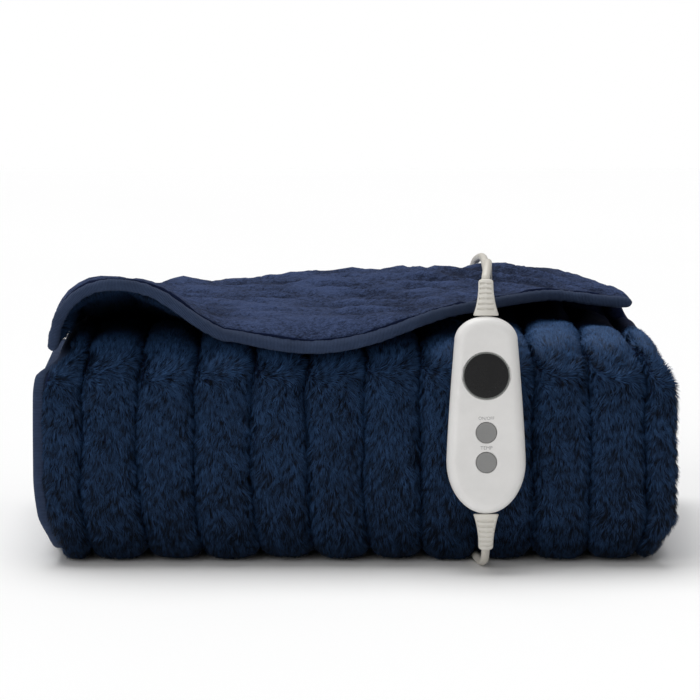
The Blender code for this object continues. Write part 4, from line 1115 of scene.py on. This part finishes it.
def relief(name, replaced, line):
    """Rounded rings along a bending line, flared by (1 - t)^2.4, with slots pressed in on both faces."""
    points, directions = line
    t = np.linspace(0, 1, len(points))
    flare = (1 - t) ** 2.4
    wide, deep = (tip + (root - tip) * flare for root, tip in zip(RELIEF_ROOT, RELIEF_TIP))
    a, b = squared_round(RELIEF_SIDES, RELIEF_POWER)
    phase = (t - SLOT_FROM) / SLOT_SPAN * SLOTS
    slot = grooves(phase, 0.25, 0.10) * (phase > 0) * (phase < SLOTS)
    column = ease((np.abs(a) - COLUMN[0]) / 0.08) * ease((COLUMN[1] - np.abs(a)) / 0.10)
    press = slot[:, None] * column[None, :] * SLOT_DEPTH
    across = np.cross(directions, (1.0, 0, 0))
    end = np.minimum(1, 0.90 + 0.10 * np.sqrt(np.clip(np.minimum(t, 1 - t) / 0.03, 0, 1)))
    sideways = a[None, :] * (wide * end)[:, None]
    facing = b[None, :] * ((deep * end)[:, None] - press)
    rings = points[:, None] + sideways[..., None] * np.array([1.0, 0, 0])
    rings = rings + facing[..., None] * across[:, None]
    made = closed(name, rings, RELIEF_RUBBER)
    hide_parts(replaced)


RELIEF_RUBBER = moulded("relief_rubber", (0.72, 0.695, 0.64, 1), (0.66, 0.635, 0.58, 1), 0.45, 700.0, 0.00003)
relief("sleeve_top", "relief_top", TOP_LINE)
relief("sleeve_bottom", "relief_bottom", LOWER_LINE)

# ---------------------------------------------------------------- connector, plug and tie
# Moulded pieces on the leads: the blanket's connector with its sleeve at the back edge, the two-pin
# plug with grip grooves and plated pins, and a narrow woven tie round the stored coil.
BLOCK_SIDES = 56
SLEEVE_ROOT = (0.0062, 0.0050)
SLEEVE_TAPER = (0.0018, 0.0008)
SLEEVE_GROOVES = 5
PLUG_NECK_LENGTH = 0.022
PLUG_BODY_LENGTH = 0.030
PLUG_HALF_WIDTH = 0.0150
PLUG_HALF_DEPTH = 0.0080
PIN_LENGTH = 0.0170
PIN_HALF_WIDTH = 0.0031
PIN_HALF_THICK = 0.0008
PIN_SPREAD = 0.0069
PIN_TURN = math.radians(30)
TIE_TURN = math.radians(215)   # where on the coil the tie sits
TIE_HALF_WIDTH = 0.0045
TIE_RUN = 0.0300               # radius of the coil's middle, where the tie sits
TIE_MIDDLE = 0.00865
TIE_REACH = 0.0094
TIE_HALF_HEIGHT = 0.0083
TIE_THICK = 0.0007
CABLE_RADIUS = 0.0042          # the plug's neck where the lead enters it
GROOVE_DEPTH = 0.0007
NECK_PITCH = 0.0035
NECK_GROOVED = (0.002, 0.016)
GRIP_DEPTH = 0.0006
GRIP_PITCH = 0.0034
GRIPPED = (0.031, 0.0445)
PLUG_ROUND = 0.0014


def block(name, replaced, centre, along, wide_way, deep_way, sections, power, finish):
    """Rings |a|^n + |b|^n = 1 stacked along a line; each section gives distance, half width, half depth."""
    a, b = squared_round(BLOCK_SIDES, power)
    along, wide_way, deep_way = (np.array(way, float) for way in (along, wide_way, deep_way))
    rings = np.stack([np.array(centre) + along * run
                      + np.outer(a * wide, wide_way) + np.outer(b * deep, deep_way)
                      for run, wide, deep in sections])
    made = closed(name, rings, finish)
    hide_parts(replaced)


def rounded_ends(start, end, wide, deep, radius, steps=7):
    """Sections of a block whose two ends are rounded by a quarter circle."""
    quarter = [(radius * (1 - math.sin(turn)), radius * (1 - math.cos(turn)))
               for turn in np.linspace(0, math.pi / 2, steps)]
    first = [(start + run, wide - less, deep - less) for run, less in quarter[::-1]]
    last = [(end - run, wide - less, deep - less) for run, less in quarter]
    return first + last


def woven_tie():
    """Black woven tape with a fine crosswise rib."""
    made = Finish("woven_tie", Roughness=0.8, Specular_IOR_Level=0.2)
    rib = made.node("ShaderNodeTexWave", {"bands_direction": "Z"}, {"Vector": made.place(), "Scale": 420.0})
    grain = made.noise(made.place(), 1200.0, 3.0)
    tone = rib * 0.6 + grain * 0.4
    return made.feed(Base_Color=made.mix(tone, (0.010, 0.010, 0.011, 1), (0.030, 0.030, 0.032, 1)),
                     Normal=made.bump(rib + grain, 0.0003, 0.8))


PLUG_PLASTIC = moulded("plug_plastic", (0.74, 0.73, 0.71, 1), (0.69, 0.68, 0.66, 1), 0.40, 800.0, 0.00003)
plating = Finish("plated_pin", Metallic=1.0)
brushed = plating.noise(plating.stretched(plating.place(), (60.0, 900.0, 900.0)), 1.0, 3.0)
PLATED = plating.feed(Base_Color=plating.mix(brushed, (0.55, 0.50, 0.40, 1), (0.70, 0.66, 0.56, 1)),
                      Roughness=brushed * 0.16 + 0.18, Normal=plating.bump(brushed, 0.00003, 0.5))

x, y, z = CONNECTOR
half_x, half_y, half_z = CONNECTOR_HALF
block("connector_shell", "connector_body", CONNECTOR, (0, 0, 1), (1, 0, 0), (0, 1, 0),
      rounded_ends(-half_z, half_z, half_x, half_y, 0.0013), 4.5, RELIEF_RUBBER)
t = np.linspace(0, 1, 60)
groove = GROOVE_DEPTH * grooves(t * SLEEVE_GROOVES, 0.25, 0.12) * (t > 0.08) * (t < 0.92)
sleeve = [(CONNECTOR_RELIEF * part, SLEEVE_ROOT[0] - SLEEVE_TAPER[0] * part - cut,
           SLEEVE_ROOT[1] - SLEEVE_TAPER[1] * part - cut) for part, cut in zip(t, groove)]
block("connector_sleeve", "connector_relief", (x, y, z + half_z + GAP), (0, 0, 1), (1, 0, 0), (0, 1, 0),
      sleeve, 2.3, RELIEF_RUBBER)

run = np.linspace(GAP, PLUG_NECK_LENGTH + PLUG_BODY_LENGTH, 150)
flare = ease((run - 0.4 * PLUG_NECK_LENGTH) / (0.6 * PLUG_NECK_LENGTH + 0.010))
end_round = PLUG_ROUND * (1 - np.sqrt(1 - np.clip(1 - (run[-1] - run) / PLUG_ROUND, 0, 1) ** 2))
neck_groove = GROOVE_DEPTH * grooves(run / NECK_PITCH, 0.25, 0.12)
neck_groove *= (run > NECK_GROOVED[0]) * (run < NECK_GROOVED[1])
grip = GRIP_DEPTH * grooves(run / GRIP_PITCH, 0.22, 0.14) * (run > GRIPPED[0]) * (run < GRIPPED[1])
wide = CABLE_RADIUS + (PLUG_HALF_WIDTH - CABLE_RADIUS) * flare - neck_groove - grip - end_round
deep = CABLE_RADIUS + (PLUG_HALF_DEPTH - CABLE_RADIUS) * flare - neck_groove - end_round
block("plug_shell", "plug_body", PLUG_NECK, (-1, 0, 0), (0, 1, 0), (0, 0, 1), list(zip(run, wide, deep)), 3.2,
      PLUG_PLASTIC)
x, y, z = PLUG_NECK
for name, replaced, side in (("pin_a", "plug_pin_a", -1), ("pin_b", "plug_pin_b", 1)):
    sin, cos = math.sin(side * PIN_TURN), math.cos(side * PIN_TURN)
    sections = rounded_ends(0, PIN_LENGTH, PIN_HALF_WIDTH, PIN_HALF_THICK, 0.0005)
    root = (x - PLUG_NECK_LENGTH - PLUG_BODY_LENGTH - GAP, y + side * PIN_SPREAD, z)
    block(name, replaced, root, (-1, 0, 0), (0, -sin, cos), (0, cos, sin), sections, 8.0, PLATED)

outwards = np.array([math.cos(TIE_TURN), math.sin(TIE_TURN), 0])
sideways = np.array([-math.sin(TIE_TURN), math.cos(TIE_TURN), 0])
loop_a, loop_b = squared_round(96, 4.0)
SECTION = (
    # share of the half width, share of the thickness outwards
    (-1, 0.0), (-0.9, 0.5), (0.9, 0.5), (1, 0.0), (0.9, -0.5), (-0.9, -0.5),
)
tie_rings = np.stack([
    np.array([COIL_X, COIL_Y, TIE_MIDDLE])
    + np.outer(TIE_RUN + loop_a * (TIE_REACH + TIE_THICK * depth), outwards)
    + np.outer(loop_b * (TIE_HALF_HEIGHT + (TIE_THICK * depth if depth > 0 else 0)), (0, 0, 1))
    + sideways * TIE_HALF_WIDTH * wide
    for wide, depth in SECTION])
points = tie_rings.transpose(1, 0, 2).reshape(-1, 3)
points[:, 2] = np.maximum(points[:, 2], 0.0001)
closing = np.concatenate([np.arange(len(points)), np.arange(len(SECTION))]).reshape(-1, len(SECTION))
tie_faces = np.concatenate([np.stack([closing[:-1, j], closing[:-1, k], closing[1:, k], closing[1:, j]], 1)
                            for j, k in zip(range(6), (1, 2, 3, 4, 5, 0))])
tie = piece("coil_tie", mesh_of("coil_tie", from_throw(points), tie_faces), woven_tie())

# ---------------------------------------------------------------- floor and light
# A plain white floor under the throw. A wide soft light stands above it and a weaker one at the front
# left, and a pale surround fills the shade and stays white behind the throw.
def stage_floor():
    """Matt white paint, a touch uneven."""
    made = Finish("floor_white", Roughness=0.8, Specular_IOR_Level=0.1)
    tone = made.noise(made.place(), 1.5)
    return made.feed(Base_Color=made.mix(tone, (0.93, 0.93, 0.93, 1), (0.96, 0.96, 0.96, 1)))


floor_points = [(-3.0, -3.0, 0.0), (3.0, -3.0, 0.0), (3.0, 2.5, 0.0), (-3.0, 2.5, 0.0)]
ground = bpy.data.objects.new("floor", mesh_of("floor", floor_points, np.array([(0, 1, 2, 3)])))
ground.data.materials.append(stage_floor())
bpy.context.scene.collection.objects.link(ground)

LIGHTS = (
    # name, direction it shines towards, spread in degrees, strength
    ("light_above", (0.15, -0.28, -1.0), 48, 2.20),
    ("light_front", (0.60, 0.80, -0.42), 45, 0.70),
)
SURROUND = 0.32
for name, towards, spread, strength in LIGHTS:
    lamp = bpy.data.lights.new(name, "SUN")
    lamp.energy, lamp.angle = strength, math.radians(spread)
    held = bpy.data.objects.new(name, lamp)
    held.rotation_euler = (math.atan2(math.hypot(towards[0], towards[1]), -towards[2]), 0,
                           math.atan2(towards[1], towards[0]) - math.pi / 2)
    bpy.context.scene.collection.objects.link(held)

# The surround is white where it is looked at and a dim even light everywhere else.
world = bpy.data.worlds.new("studio")
world.use_nodes = True
seen = world.node_tree.nodes["Background"]
around = world.node_tree.nodes.new("ShaderNodeBackground")
path = world.node_tree.nodes.new("ShaderNodeLightPath")
either = world.node_tree.nodes.new("ShaderNodeMixShader")
seen.inputs[0].default_value = around.inputs[0].default_value = (1, 1, 1, 1)
seen.inputs[1].default_value, around.inputs[1].default_value = 1.0, SURROUND
world.node_tree.links.new(path.outputs["Is Camera Ray"], either.inputs[0])
world.node_tree.links.new(around.outputs[0], either.inputs[1])
world.node_tree.links.new(seen.outputs[0], either.inputs[2])
world.node_tree.links.new(either.outputs[0], world.node_tree.nodes["World Output"].inputs[0])
bpy.context.scene.world = world
